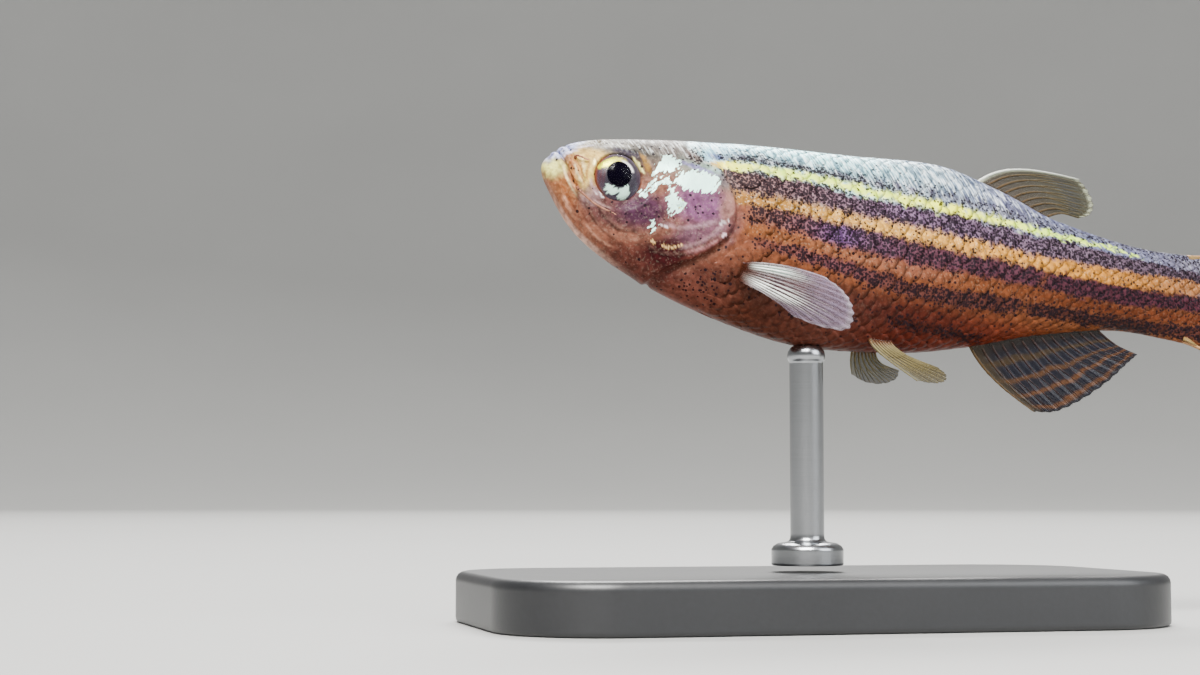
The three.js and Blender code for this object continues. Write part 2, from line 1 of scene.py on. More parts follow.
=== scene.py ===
"""The finish of a zebra danio on its display stand: skin, scales, eyes, fins, feelers and studio.

The fish is worked out in millimetres in a frame of its own: x is the reach from the tip of the snout
back to the tail, y is to the fish's right, and z is the height above the line from the snout to the
tail fin's root. to_frame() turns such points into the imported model's frame, in metres.
"""

import bpy
import numpy as np
from mathutils import Matrix, Vector


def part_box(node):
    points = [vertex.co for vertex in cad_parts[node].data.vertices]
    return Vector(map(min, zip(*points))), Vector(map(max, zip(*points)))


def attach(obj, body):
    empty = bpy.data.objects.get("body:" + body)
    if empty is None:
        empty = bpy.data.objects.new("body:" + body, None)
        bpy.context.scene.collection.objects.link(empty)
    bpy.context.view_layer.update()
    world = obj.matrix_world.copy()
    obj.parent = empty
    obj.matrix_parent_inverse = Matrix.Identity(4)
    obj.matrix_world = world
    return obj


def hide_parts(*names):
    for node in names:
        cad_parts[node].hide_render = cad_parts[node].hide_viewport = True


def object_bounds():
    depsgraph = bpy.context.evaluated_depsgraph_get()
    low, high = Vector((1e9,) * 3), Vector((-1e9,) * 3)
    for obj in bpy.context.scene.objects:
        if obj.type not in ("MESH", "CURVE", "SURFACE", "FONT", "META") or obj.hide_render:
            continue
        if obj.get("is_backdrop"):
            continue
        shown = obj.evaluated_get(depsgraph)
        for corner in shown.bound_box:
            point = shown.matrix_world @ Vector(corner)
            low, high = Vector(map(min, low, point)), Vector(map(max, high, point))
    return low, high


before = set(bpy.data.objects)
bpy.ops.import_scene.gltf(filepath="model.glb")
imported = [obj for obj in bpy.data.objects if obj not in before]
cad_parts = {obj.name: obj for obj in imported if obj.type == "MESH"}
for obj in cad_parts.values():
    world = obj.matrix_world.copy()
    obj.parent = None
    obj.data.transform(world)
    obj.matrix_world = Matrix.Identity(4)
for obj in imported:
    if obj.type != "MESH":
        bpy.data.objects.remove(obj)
cad_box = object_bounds()

MM = 0.001

# The fish's form and stance
BODY_LENGTH = 34
PITCH = np.radians(9.25)
BANK = np.radians(7)
GAP = 0.3
ROD_REACH = 13.9
BACK_LINE = [
    (0, 0), (0.35, 0.58), (1.3, 1.35), (5, 2.27), (10, 3.0), (15, 3.5),
    (19.5, 3.95), (23, 3.3), (26, 2.42), (31, 1.92), (BODY_LENGTH, 2.1),
]
BELLY_LINE = [
    (0, 0), (0.5, -1.12), (2.1, -2.98), (5, -4.5), (9.2, -5.7), (13.5, -6.26),
    (18.5, -5.7), (22, -4.8), (26, -3.45), (31, -2.45), (BODY_LENGTH, -2.5),
]
HALF_WIDTH = [
    (0, 0), (0.4, 0.62), (1.3, 1.12), (3.4, 1.75), (7.5, 2.2), (13.5, 2.6),
    (18.5, 2.45), (24, 1.75), (30, 1.05), (BODY_LENGTH, 0.5),
]
BEAM_LEVEL = [(0, 0), (3.4, -0.6), (8, -1.3), (14, -1.9), (20, -1.2), (27, -0.5), (BODY_LENGTH, -0.2)]
UPRIGHT_FROM = 5
SCALE_DEPTH = 0.035  # how far the skin lies inside the solids

# Head
EYE_CENTRE = np.array([3.38, 1.2, -0.3])
EYE_RADII = np.array([1.2, 0.82, 1.2])
PUPIL = (3.36, -0.24)
PUPIL_RADIUS = 0.6
GAPE_NOTCH = np.array([0.6, 0.76])
GAPE_CORNER = np.array([1.45, -0.96])
NOSTRIL = (2.38, 0.66)
GILL_OPENING = [
    (8.1, 4.2), (8.05, 1.6), (8.75, 0), (9.05, -1.3), (8.65, -2.5), (7.6, -3.5), (6.2, -4.25), (4.9, -5.6),
]
GILL_COVER_RISE = 0.16
PREOPERCLE = [(5.0, 0.3), (5.65, -0.9), (5.7, -1.8), (5.35, -2.6), (4.75, -3.3)]
# Folds of the skin as (line, depth, width)
FOLDS = [
    ([(2.43, -1.67), (3.0, -2.33), (3.73, -2.8), (4.4, -2.8), (4.85, -2.6)], 0.05, 0.09),
    ([(1.95, -1.5), (2.3, -2.2), (3.0, -2.85), (3.9, -3.35)], 0.035, 0.07),
    ([(0.97, -0.25), (1.25, -0.92), (1.61, -1.48), (1.95, -1.85)], 0.05, 0.07),
    ([(1.37, -0.1), (1.5, -0.5), (1.72, -1.0), (1.8, -1.45)], 0.035, 0.06),
    ([(6.3, -2.45), (7.1, -2.3), (7.9, -2.05), (8.6, -1.6)], 0.045, 0.07),
    ([(6.6, -3.25), (7.3, -3.05), (8.0, -2.7), (8.65, -2.2)], 0.045, 0.08),
    ([(5.0, -3.3), (5.9, -3.6), (6.8, -3.5), (7.6, -3.2)], 0.04, 0.08),
]

# Middle lines of the flank's stripes on the side view
GOLD_LINE = [
    (7.5, 1.05), (8.5, 1.25), (10, 1.42), (13, 1.4), (16, 1.27), (19, 1.25), (22, 1.3), (28, 1.32),
]
FIRST_DARK = [
    (8, 0.5), (9, 0.57), (12, 0.62), (15, 0.45), (18, 0.45), (21, 0.53), (24, 0.5), (27, 0.62), (30, 0.68),
    (34, 0.9),
]
CREAM_LINE = [
    (8, -0.2), (12, -0.28), (15, -0.38), (20, -0.4), (22, -0.28), (25, -0.3), (27, -0.2), (30, -0.08),
    (34, 0.38),
]
SECOND_DARK = [
    (9, -0.97), (12, -1.08), (14, -1.2), (18, -1.37), (20, -1.35), (22, -1.17), (26, -1.12), (30, -1.0),
    (34, -0.5),
]
ORANGE_LINE = [
    (9, -1.8), (12, -1.9), (14, -2.05), (16, -2.2), (18, -2.28), (20, -2.15), (25, -2.02), (30, -1.75),
    (34, -1.3),
]
THIRD_DARK = [
    (10, -2.33), (12.5, -2.55), (14, -2.75), (17, -3.05), (18.5, -3.15), (20, -3.07), (24, -2.67),
    (28, -2.4), (34, -1.95),
]
FOURTH_DARK = [(17, -4.65), (19, -4.65), (21, -4.55), (22.5, -4.42)]


def linear(code):
    """A colour in linear light from its hex code."""
    value = np.array([int(code[i : i + 2], 16) for i in (1, 3, 5)]) / 255
    return np.where(value <= 0.04045, value / 12.92, ((value + 0.055) / 1.055) ** 2.4)


def smoothstep(value, low, high):
    share = np.clip((value - low) / (high - low), 0, 1)
    return share * share * (3 - 2 * share)


def bump(distance, width):
    return np.exp(-((distance / width) ** 2))


def mix(first, second, share):
    """Colours between two others; share may differ from point to point."""
    return first + (second - first) * np.asarray(share)[..., None]


def graded(x, *stops):
    """Colours that change with the reach, from pairs of reach and hex code."""
    reach = [stop[0] for stop in stops]
    codes = np.array([linear(stop[1]) for stop in stops])
    return np.stack([np.interp(x, reach, codes[:, k]) for k in range(3)], -1)


def wobble(x, z, pitch, seed=1):
    """Smooth noise of about -1 to 1 that changes over a distance of pitch."""
    draw = np.random.default_rng(seed)
    total = 0
    for _ in range(7):
        angle, phase = draw.uniform(0, 2 * np.pi, 2)
        rate = 2 * np.pi / pitch * draw.uniform(0.6, 1.6)
        total = total + np.sin(rate * (x * np.cos(angle) + z * np.sin(angle)) + phase)
    return total / 3


# Curves


def smooth_line(stations):
    """A curve through stations, monotone between them, that rounds the end at x = 0."""
    root = np.sqrt([x for x, _ in stations])
    height = np.array([y for _, y in stations], float)
    slopes = np.diff(height) / np.diff(root)
    before, after = slopes[:-1], slopes[1:]
    together = np.where(before * after > 0, before + after, 1)
    inner = np.where(before * after > 0, 2 * before * after / together, 0)
    tangents = np.concatenate([slopes[:1], inner, slopes[-1:]])

    def at(x):
        v = np.sqrt(np.maximum(0, np.asarray(x, float)))
        i = np.clip(np.searchsorted(root, v) - 1, 0, len(root) - 2)
        span = root[i + 1] - root[i]
        s = np.clip((v - root[i]) / span, 0, 1)
        h = 1 - s
        return (
            height[i] * h * h * (1 + 2 * s)
            + height[i + 1] * s * s * (3 - 2 * s)
            + tangents[i] * span * s * h * h
            - tangents[i + 1] * span * s * s * h
        )

    return at


back_at = smooth_line(BACK_LINE)
belly_at = smooth_line(BELLY_LINE)
half_width_at = smooth_line(HALF_WIDTH)
beam_level_at = smooth_line(BEAM_LEVEL)


def through(points, share, centripetal=True):
    """Points on a smooth curve through points, at shares of 0 to 1 of its stretches."""
    points = np.asarray(points, float)
    share = np.atleast_1d(share) * (len(points) - 1)
    i = np.clip(share.astype(int), 0, len(points) - 2)
    s = (share - i)[:, None]
    longer = np.vstack([2 * points[0] - points[1], points, 2 * points[-1] - points[-2]])
    p0, p1, p2, p3 = (longer[i + k] for k in range(4))
    power = 0.5 if centripetal else 0
    d0, d1, d2 = (np.linalg.norm(b - a, axis=1)[:, None] ** power for a, b in ((p0, p1), (p1, p2), (p2, p3)))
    leave = ((p1 - p0) / d0 - (p2 - p0) / (d0 + d1) + (p2 - p1) / d1) * d1
    arrive = ((p2 - p1) / d1 - (p3 - p1) / (d1 + d2) + (p3 - p2) / d2) * d1
    return (
        p1
        + leave * s
        + (-3 * p1 + 3 * p2 - 2 * leave - arrive) * s**2
        + (2 * p1 - 2 * p2 + leave + arrive) * s**3
    )


def off_line(x, z, line, steps=60):
    """Distance from a line drawn on the side view, below zero ahead of it, and how far along it that is."""
    curve = through(line, np.linspace(0, 1, steps + 1), centripetal=False)
    start, span = curve[:-1], np.diff(curve, axis=0)
    place = np.stack([x, z], -1)
    nearest = np.full(x.shape, 1e9)
    signed, along = np.zeros(x.shape), np.zeros(x.shape)
    for k in range(steps):
        offset = place - start[k]
        share = np.clip(offset @ span[k] / (span[k] @ span[k]), 0, 1)
        gap = offset - share[..., None] * span[k]
        distance = np.hypot(gap[..., 0], gap[..., 1])
        turn = span[k][0] * offset[..., 1] - span[k][1] * offset[..., 0]
        closer = distance < nearest
        nearest = np.where(closer, distance, nearest)
        signed = np.where(closer, np.sign(turn) * distance, signed)
        along = np.where(closer, (k + share) / steps, along)
    return signed, along


# The body's form


def flank_at(x, z):
    level = beam_level_at(x)
    half = np.where(z > level, back_at(x) - level, level - belly_at(x))
    share = np.clip(np.abs(z - level) / np.maximum(half, 1e-9), 0, 1)
    return half_width_at(x) * np.sqrt(1 - share**2)


def on_flank(x, z, side, lift=0):
    """A point of the smooth flank, lifted off along its normal, and that normal."""
    d = 0.02
    slope_x = (flank_at(x + d, z) - flank_at(x - d, z)) / (2 * d)
    slope_z = (flank_at(x, z + d) - flank_at(x, z - d)) / (2 * d)
    normal = np.stack([-slope_x, np.ones_like(slope_x), -slope_z], -1)
    normal = normal / np.linalg.norm(normal, axis=-1, keepdims=True)
    point = np.stack(np.broadcast_arrays(x, flank_at(x, z), z), -1) + lift * normal
    return point * [1, side, 1], normal * [1, side, 1]


def outline(root):
    """The side view's outline: root is the square root of the reach, below zero along the belly."""
    reach = root**2
    return np.stack([reach, np.where(root < 0, belly_at(reach), back_at(reach))], -1)


GAPE_LENGTH = np.linalg.norm(GAPE_CORNER - GAPE_NOTCH)
GAPE_ALONG = (GAPE_CORNER - GAPE_NOTCH) / GAPE_LENGTH
GAPE_AHEAD = np.array([GAPE_ALONG[1], -GAPE_ALONG[0]])


def section_ends():
    """The cross sections' ends on the outline: along the mouth at the snout, upright on the body."""
    belly_side = np.linspace(-2.4, 0, 4000)
    ahead = (outline(belly_side) - GAPE_NOTCH) @ GAPE_AHEAD
    chin = belly_side[ahead.argmax()]
    foremost = ahead.max()
    lips = np.linspace(0.3, -0.64, 56)
    offsets = np.concatenate([foremost - (foremost - 0.3) * np.linspace(0.06, 1, 20)[:-1] ** 2, lips])

    def crossing(far):
        roots = np.linspace(far, chin, 4000)
        return np.interp(offsets, (outline(roots) - GAPE_NOTCH) @ GAPE_AHEAD, roots)

    low, high = crossing(-2.2), crossing(1.6)
    turning = np.linspace(0, 1, 62)[1:]
    low = np.append(low, -np.sqrt(low[-1] ** 2 + (UPRIGHT_FROM - low[-1] ** 2) * turning))
    high = np.append(high, np.sqrt(high[-1] ** 2 + (UPRIGHT_FROM - high[-1] ** 2) * turning))
    upright = np.sqrt(np.concatenate([np.arange(5.06, 9.8, 0.06), np.linspace(9.8, BODY_LENGTH, 170)]))
    return outline(chin), outline(np.append(low, -upright)), outline(np.append(high, upright))


def mouth_relief(x, z):
    place = np.stack([x, z], -1) - GAPE_NOTCH
    ahead, along = place @ GAPE_AHEAD, place @ GAPE_ALONG
    fade = 1 - smoothstep(along, GAPE_LENGTH - 0.15, GAPE_LENGTH + 0.15)
    lower_lip = 0.06 * bump(ahead - 0.2, 0.1)
    upper_lip = 0.05 * bump(ahead + 0.24, 0.11)
    fold = 0.05 * bump(ahead + 0.47, 0.06)
    gape = 0.17 * bump(ahead, 0.045)
    return fade * (lower_lip + upper_lip - fold - gape)


def gill_relief(x, z):
    behind = off_line(x, z, GILL_OPENING)[0]
    cover = smoothstep(x, 4.8, 6.8) * (1 - smoothstep(z, 0.4, 1.5))
    open_share = 1 - smoothstep(z, 0.9, 1.7)
    rise = GILL_COVER_RISE * cover * (1 - smoothstep(behind, -0.13, 0.05))
    groove = 0.09 * open_share * bump(behind - 0.08, 0.14)
    return rise - groove


def head_relief(x, z):
    relief = mouth_relief(x, z) + gill_relief(x, z)
    for line, depth, width in FOLDS:
        behind, along = off_line(x, z, line)
        ends = smoothstep(along, 0, 0.12) * (1 - smoothstep(along, 0.85, 1))
        relief = relief + ends * depth * (0.3 * bump(behind - 1.6 * width, width) - bump(behind, width))
    behind, along = off_line(x, z, PREOPERCLE)
    ends = smoothstep(along, 0, 0.15) * (1 - smoothstep(along, 0.8, 1))
    return relief + ends * (0.05 * bump(behind - 0.12, 0.12) - 0.04 * bump(behind + 0.12, 0.1))


def eyeball_at(distance):
    """How far out the eyeball stands, by distance from its centre on the side view."""
    share = np.clip(distance / EYE_RADII[0], 0, 1)
    return EYE_CENTRE[1] + EYE_RADII[1] * np.sqrt(1 - share**2)


def seat_eye(points):
    """Draws the skin round each eye to the eyeball as a soft rim, and under it where the eye covers it."""
    x, y, z = points[..., 0], points[..., 1], points[..., 2]
    distance = np.hypot(x - EYE_CENTRE[0], z - EYE_CENTRE[2])
    rim = 1.13
    hugging = eyeball_at(rim) + 0.05 * bump(distance - 1.22, 0.07)
    outer = hugging + (np.abs(y) - hugging) * smoothstep(distance, rim, 1.8)
    under = eyeball_at(rim) - 0.02 - 1.6 * (rim - distance)
    seated = np.where(distance > rim, outer, np.minimum(np.abs(y), under))
    near = (distance < 1.8) & (np.abs(y) > 0.75)
    points[..., 1] = np.where(near, np.sign(y) * seated, y)
    return points


def nostril_relief(x, y, z):
    distance = np.hypot(x - NOSTRIL[0], np.abs(y) - NOSTRIL[1])
    pit = -0.14 * (1 - smoothstep(distance, 0.07, 0.18))
    rim = 0.02 * bump(distance - 0.2, 0.05)
    flap = 0.008 * bump(np.hypot(x - NOSTRIL[0] - 0.02, (np.abs(y) - NOSTRIL[1]) / 2), 0.06)
    return np.where(z > 0, pit + rim + flap, 0)


def seat_of_rod():
    """The turned body's lowest point over the rod, which says where the fish stands."""
    y = np.arange(-2, 0.001, 0.02)
    level = beam_level_at(ROD_REACH)
    drop = (level - belly_at(ROD_REACH)) * np.sqrt(1 - (y / half_width_at(ROD_REACH)) ** 2)
    points = np.stack([np.full_like(y, ROD_REACH), y, level - drop], -1) @ TURN.T
    return points[points[:, 2].argmin()]


TURN = np.array(Matrix.Rotation(PITCH, 3, "Y") @ Matrix.Rotation(-BANK, 3, "X"))
BELLY_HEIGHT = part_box("stand_rod")[1].z / MM + GAP
SNOUT = np.array([0, 0, BELLY_HEIGHT]) - seat_of_rod()


def to_frame(points):
    return (np.asarray(points, float) @ TURN.T + SNOUT) * MM


# Colours of the skin

INK = linear("#120910")
# The light is strong enough for silver and gold to shine, so every other colour is kept down
KEPT_DOWN = 0.74
BRIGHT = 1.3

# Tints of the head as (reach, height, half length, half height, lean in degrees, colour, strength)
HEAD_TINTS = [
    (1.7, -1.9, 2.2, 1.7, -25, "#9c6444", 1),
    (3.2, -3.3, 2.3, 0.75, -28, "#9c634c", 0.9),
    (5.3, -4.15, 2.4, 0.7, -17, "#582a24", 0.9),
    (3.2, -1.95, 1.4, 0.8, -15, "#513134", 0.9),
    (4.7, -1.7, 1.15, 0.85, 0, "#43243a", 0.95),
    (7.3, -1.05, 1.4, 1.0, 0, "#714568", 0.95),
    (8.6, -0.95, 0.4, 0.85, -8, "#8a6258", 0.8),
    (9.15, -1.6, 0.4, 1.5, -8, "#6b3e38", 0.8),
    (7.4, -2.45, 1.5, 0.5, 22, "#5f3f4d", 0.95),
    (6.1, -3.45, 1.2, 0.65, 0, "#33070a", 1),
    (7.8, -3.05, 1.2, 0.28, 36, "#4a1e18", 0.9),
    (9.2, -2.85, 0.35, 0.45, 0, "#735a70", 0.7),
    (2.1, 0.4, 0.95, 0.55, -20, "#d9b764", 0.9),
    (1.85, -0.45, 0.4, 0.8, 10, "#e6c868", 0.9),
    (0.5, -0.2, 0.55, 0.42, -35, "#f2f08a", 1),
    (1.35, -0.1, 0.3, 0.6, 20, "#b98048", 0.8),
    (0.95, 1.02, 1.15, 0.34, 43, "#c8d6ff", 0.95),
    (1.15, -1.0, 0.65, 0.36, -50, "#a3693f", 0.85),
    (2.2, -1.35, 0.45, 0.5, 0, "#94787a", 0.7),
    (5.9, 2.0, 1.8, 0.6, 10, "#7f7771", 0.8),
    (3.5, 1.45, 1.2, 0.25, 12, "#837c70", 0.7),
    (3.55, 0.98, 0.75, 0.2, -5, "#3b3440", 0.95),
    (4.6, 0.6, 0.5, 0.13, -62, "#a87c2c", 0.7),
    (7.0, 0.75, 1.0, 0.14, -13, "#7d78a4", 0.9),
    (8.3, 0.35, 0.35, 0.4, 0, "#4a3c46", 0.8),
    (6.95, 1.4, 0.55, 0.35, -20, "#6a4f4c", 0.8),
]
# Fine lines on the snout and gill cover that are only drawn, with their colours; the pale pink lines along
# the gill cover's ridges are painted highlights
SNOUT_LINES = [
    ([(0.7, -0.5), (0.95, -1.0), (1.35, -1.6), (1.8, -2.15)], "#7c4020"),
    ([(1.1, 0.45), (1.22, 0.05), (1.45, -0.4)], "#8a4a24"),
    ([(0.85, 0.3), (1.15, 0.5), (1.5, 0.35)], "#9a5c30"),
    ([(1.6, 0.3), (1.72, -0.5), (1.95, -1.1)], "#94602f"),
    ([(0.8, 0.1), (1.0, -0.5), (1.4, -1.15), (1.75, -1.6)], "#f0d7a4"),
    ([(1.3, 0.2), (1.5, -0.4), (1.85, -0.95)], "#f5e2ac"),
    ([(2.3, -1.5), (2.7, -1.72), (3.4, -1.9)], "#b08a86"),
    ([(3.2, -2.95), (4.2, -3.1), (5.0, -3.0)], "#9a6a58"),
    ([(2.2, -2.55), (2.9, -3.15), (3.9, -3.6)], "#c08a72"),
    ([(0.15, 0.2), (0.5, 0.62), (0.95, 0.95), (1.5, 1.25)], "#4c468e"),
    ([(0.5, 0.45), (0.8, 0.75), (1.25, 0.98)], "#5a559a"),
    ([(0.95, 1.12), (1.35, 1.32), (1.9, 1.5)], "#554e96"),
    ([(0.75, 0.28), (1.0, 0.62), (1.5, 0.85)], "#efe6ff"),
    ([(0.3, 0.3), (0.62, 0.6), (1.1, 0.92)], "#e4ecff"),
    ([(1.2, 0.85), (1.7, 1.05), (2.3, 1.25)], "#dcd6e6"),
    ([(1.55, 0.55), (1.72, 0.1), (1.8, -0.5)], "#fff0b0"),
    ([(1.9, 0.55), (1.95, 0.1), (1.9, -0.4), (2.05, -0.95)], "#a06a36"),
    ([(1.2, -0.35), (1.45, -0.8), (1.75, -1.2)], "#7a4424"),
    ([(2.1, -0.55), (2.2, -0.95), (2.6, -1.35)], "#caa9b4"),
    ([(1.0, -1.3), (1.35, -1.9), (1.85, -2.5)], "#d79f80"),
    # The gill cover: its pale pink lines along the ridges are painted highlights
    ([(5.5, -2.1), (6.4, -2.28), (7.4, -2.05), (8.5, -1.5)], "#c9a2ad"),
    ([(6.4, -3.25), (7.4, -2.85), (8.15, -2.2), (8.55, -1.65)], "#c79ea6"),
    ([(6.8, -3.4), (7.8, -2.95), (8.6, -2.25)], "#c98f92"),
    ([(7.0, -3.0), (7.7, -2.55), (8.3, -1.95)], "#6e3d48"),
    ([(6.9, -2.3), (7.7, -2.2), (8.4, -1.75)], "#7c4a5c"),
    ([(5.9, -1.9), (6.2, -2.3), (6.3, -2.8)], "#8a5a60"),
    ([(4.6, -0.1), (4.9, -0.15), (5.6, 0.0)], "#b78c7c"),
]
# Silvery plates that show through the skin, as outlines; the finish draws their ragged edges
SILVER_PLATES = [
    [(5.0, 0.07), (5.07, 0.47), (5.33, 1.07), (5.67, 1.23), (6.07, 1.07), (6.17, 0.8), (6.07, 0.53),
     (5.87, 0.37), (5.53, 0.33), (5.27, 0.27)],
    [(5.97, -0.2), (6.2, 0.33), (6.67, 0.5), (7.33, 0.57), (7.87, 0.43), (8.0, 0.2), (7.97, -0.27),
     (7.53, -0.5), (7.07, -0.42), (6.67, -0.5), (6.27, -0.38)],
    [(4.5, -0.87), (4.73, -1.07), (4.93, -0.73), (5.33, -0.42), (5.75, -0.24), (5.72, -0.02), (5.3, -0.1),
     (5.04, -0.3), (4.67, -0.7)],
    [(5.7, -0.8), (5.8, -0.47), (6.03, -0.63), (6.2, -1.0), (6.6, -1.2), (6.5, -1.42), (6.13, -1.6),
     (5.97, -1.85), (5.77, -1.27)],
    [(5.08, -2.3), (5.3, -2.12), (5.47, -2.4), (5.3, -2.65), (5.13, -2.52)],
]
# Small coloured spots, and painted highlights for the white and pink glints on the cheek and gill cover, as
# (reach, height, half length, half height, lean in degrees, colour)
SPOTS_AND_PAINTED_GLINTS = [
    (6.36, -1.22, 0.2, 0.16, 0, "#e3ee8e"),
    (5.75, -2.33, 0.2, 0.05, -10, "#ecd9e0"),
    (2.65, -1.33, 0.26, 0.045, -25, "#f0e8ea"),
    (8.42, -1.72, 0.26, 0.06, 33, "#ead9dc"),
    (8.58, -2.28, 0.1, 0.06, 45, "#f4cdd6"),
    (4.3, 0.45, 0.45, 0.07, -45, "#fdf29a"),
    (7.85, 1.62, 0.42, 0.22, 0, "#54488a"),
    (6.9, 2.2, 0.24, 0.45, -15, "#e2f6f6"),
    (2.2, 0.2, 0.05, 0.24, 20, "#f7eaa0"),
]
# A row of small golden glints under the cheek
GLINT_ROW = [
    (5.34, -3.04), (5.46, -3.11), (5.86, -3.18), (6.0, -3.22), (6.14, -3.22), (6.28, -3.2), (6.42, -3.16),
    (6.56, -3.1), (6.68, -3.04),
]


def daub(x, z, centre_x, centre_z, half_x, half_z, lean, soft=0.5):
    """1 in the middle of a leaning oval on the side view, falling to 0 at its edge."""
    turn = np.radians(lean)
    along = (x - centre_x) * np.cos(turn) + (z - centre_z) * np.sin(turn)
    across = (z - centre_z) * np.cos(turn) - (x - centre_x) * np.sin(turn)
    return 1 - smoothstep(np.hypot(along / half_x, across / half_z), 1 - soft, 1 + soft)


def patch(x, z, corners, soft=0.22):
    """1 well inside a closed patch of the side view, 0.5 at its edge and 0 well outside."""
    inside = np.zeros(x.shape, bool)
    nearest = np.full(x.shape, 1e9)
    for (ax, az), (bx, bz) in zip(corners, corners[1:] + corners[:1]):
        level = (az > z) != (bz > z)
        inside ^= level & (x < ax + (bx - ax) * (z - az) / (bz - az + 1e-9))
        along = (x - ax) * (bx - ax) + (z - az) * (bz - az)
        share = np.clip(along / ((bx - ax) ** 2 + (bz - az) ** 2), 0, 1)
        nearest = np.minimum(nearest, np.hypot(x - ax - share * (bx - ax), z - az - share * (bz - az)))
    return np.clip(0.5 + np.where(inside, nearest, -nearest) / (2 * soft), 0, 1)


def stripe(x, z, line, half, first, last=40, ragged=0.05, soft=0.25):
    """1 inside a stripe along a line, 0 outside, with a ragged edge."""
    centre = np.interp(x, *np.transpose(line))
    jitter = ragged * wobble(x, z, 0.3, seed=7) + 0.6 * ragged * wobble(x, z, 1.1, seed=8)
    away = np.abs(z - centre + jitter) / half
    ends = smoothstep(x, first - 0.35, first + 0.45) * (1 - smoothstep(x, last - 0.3, last + 0.3))
    return ends * (1 - smoothstep(away, 1 - soft, 1 + soft))


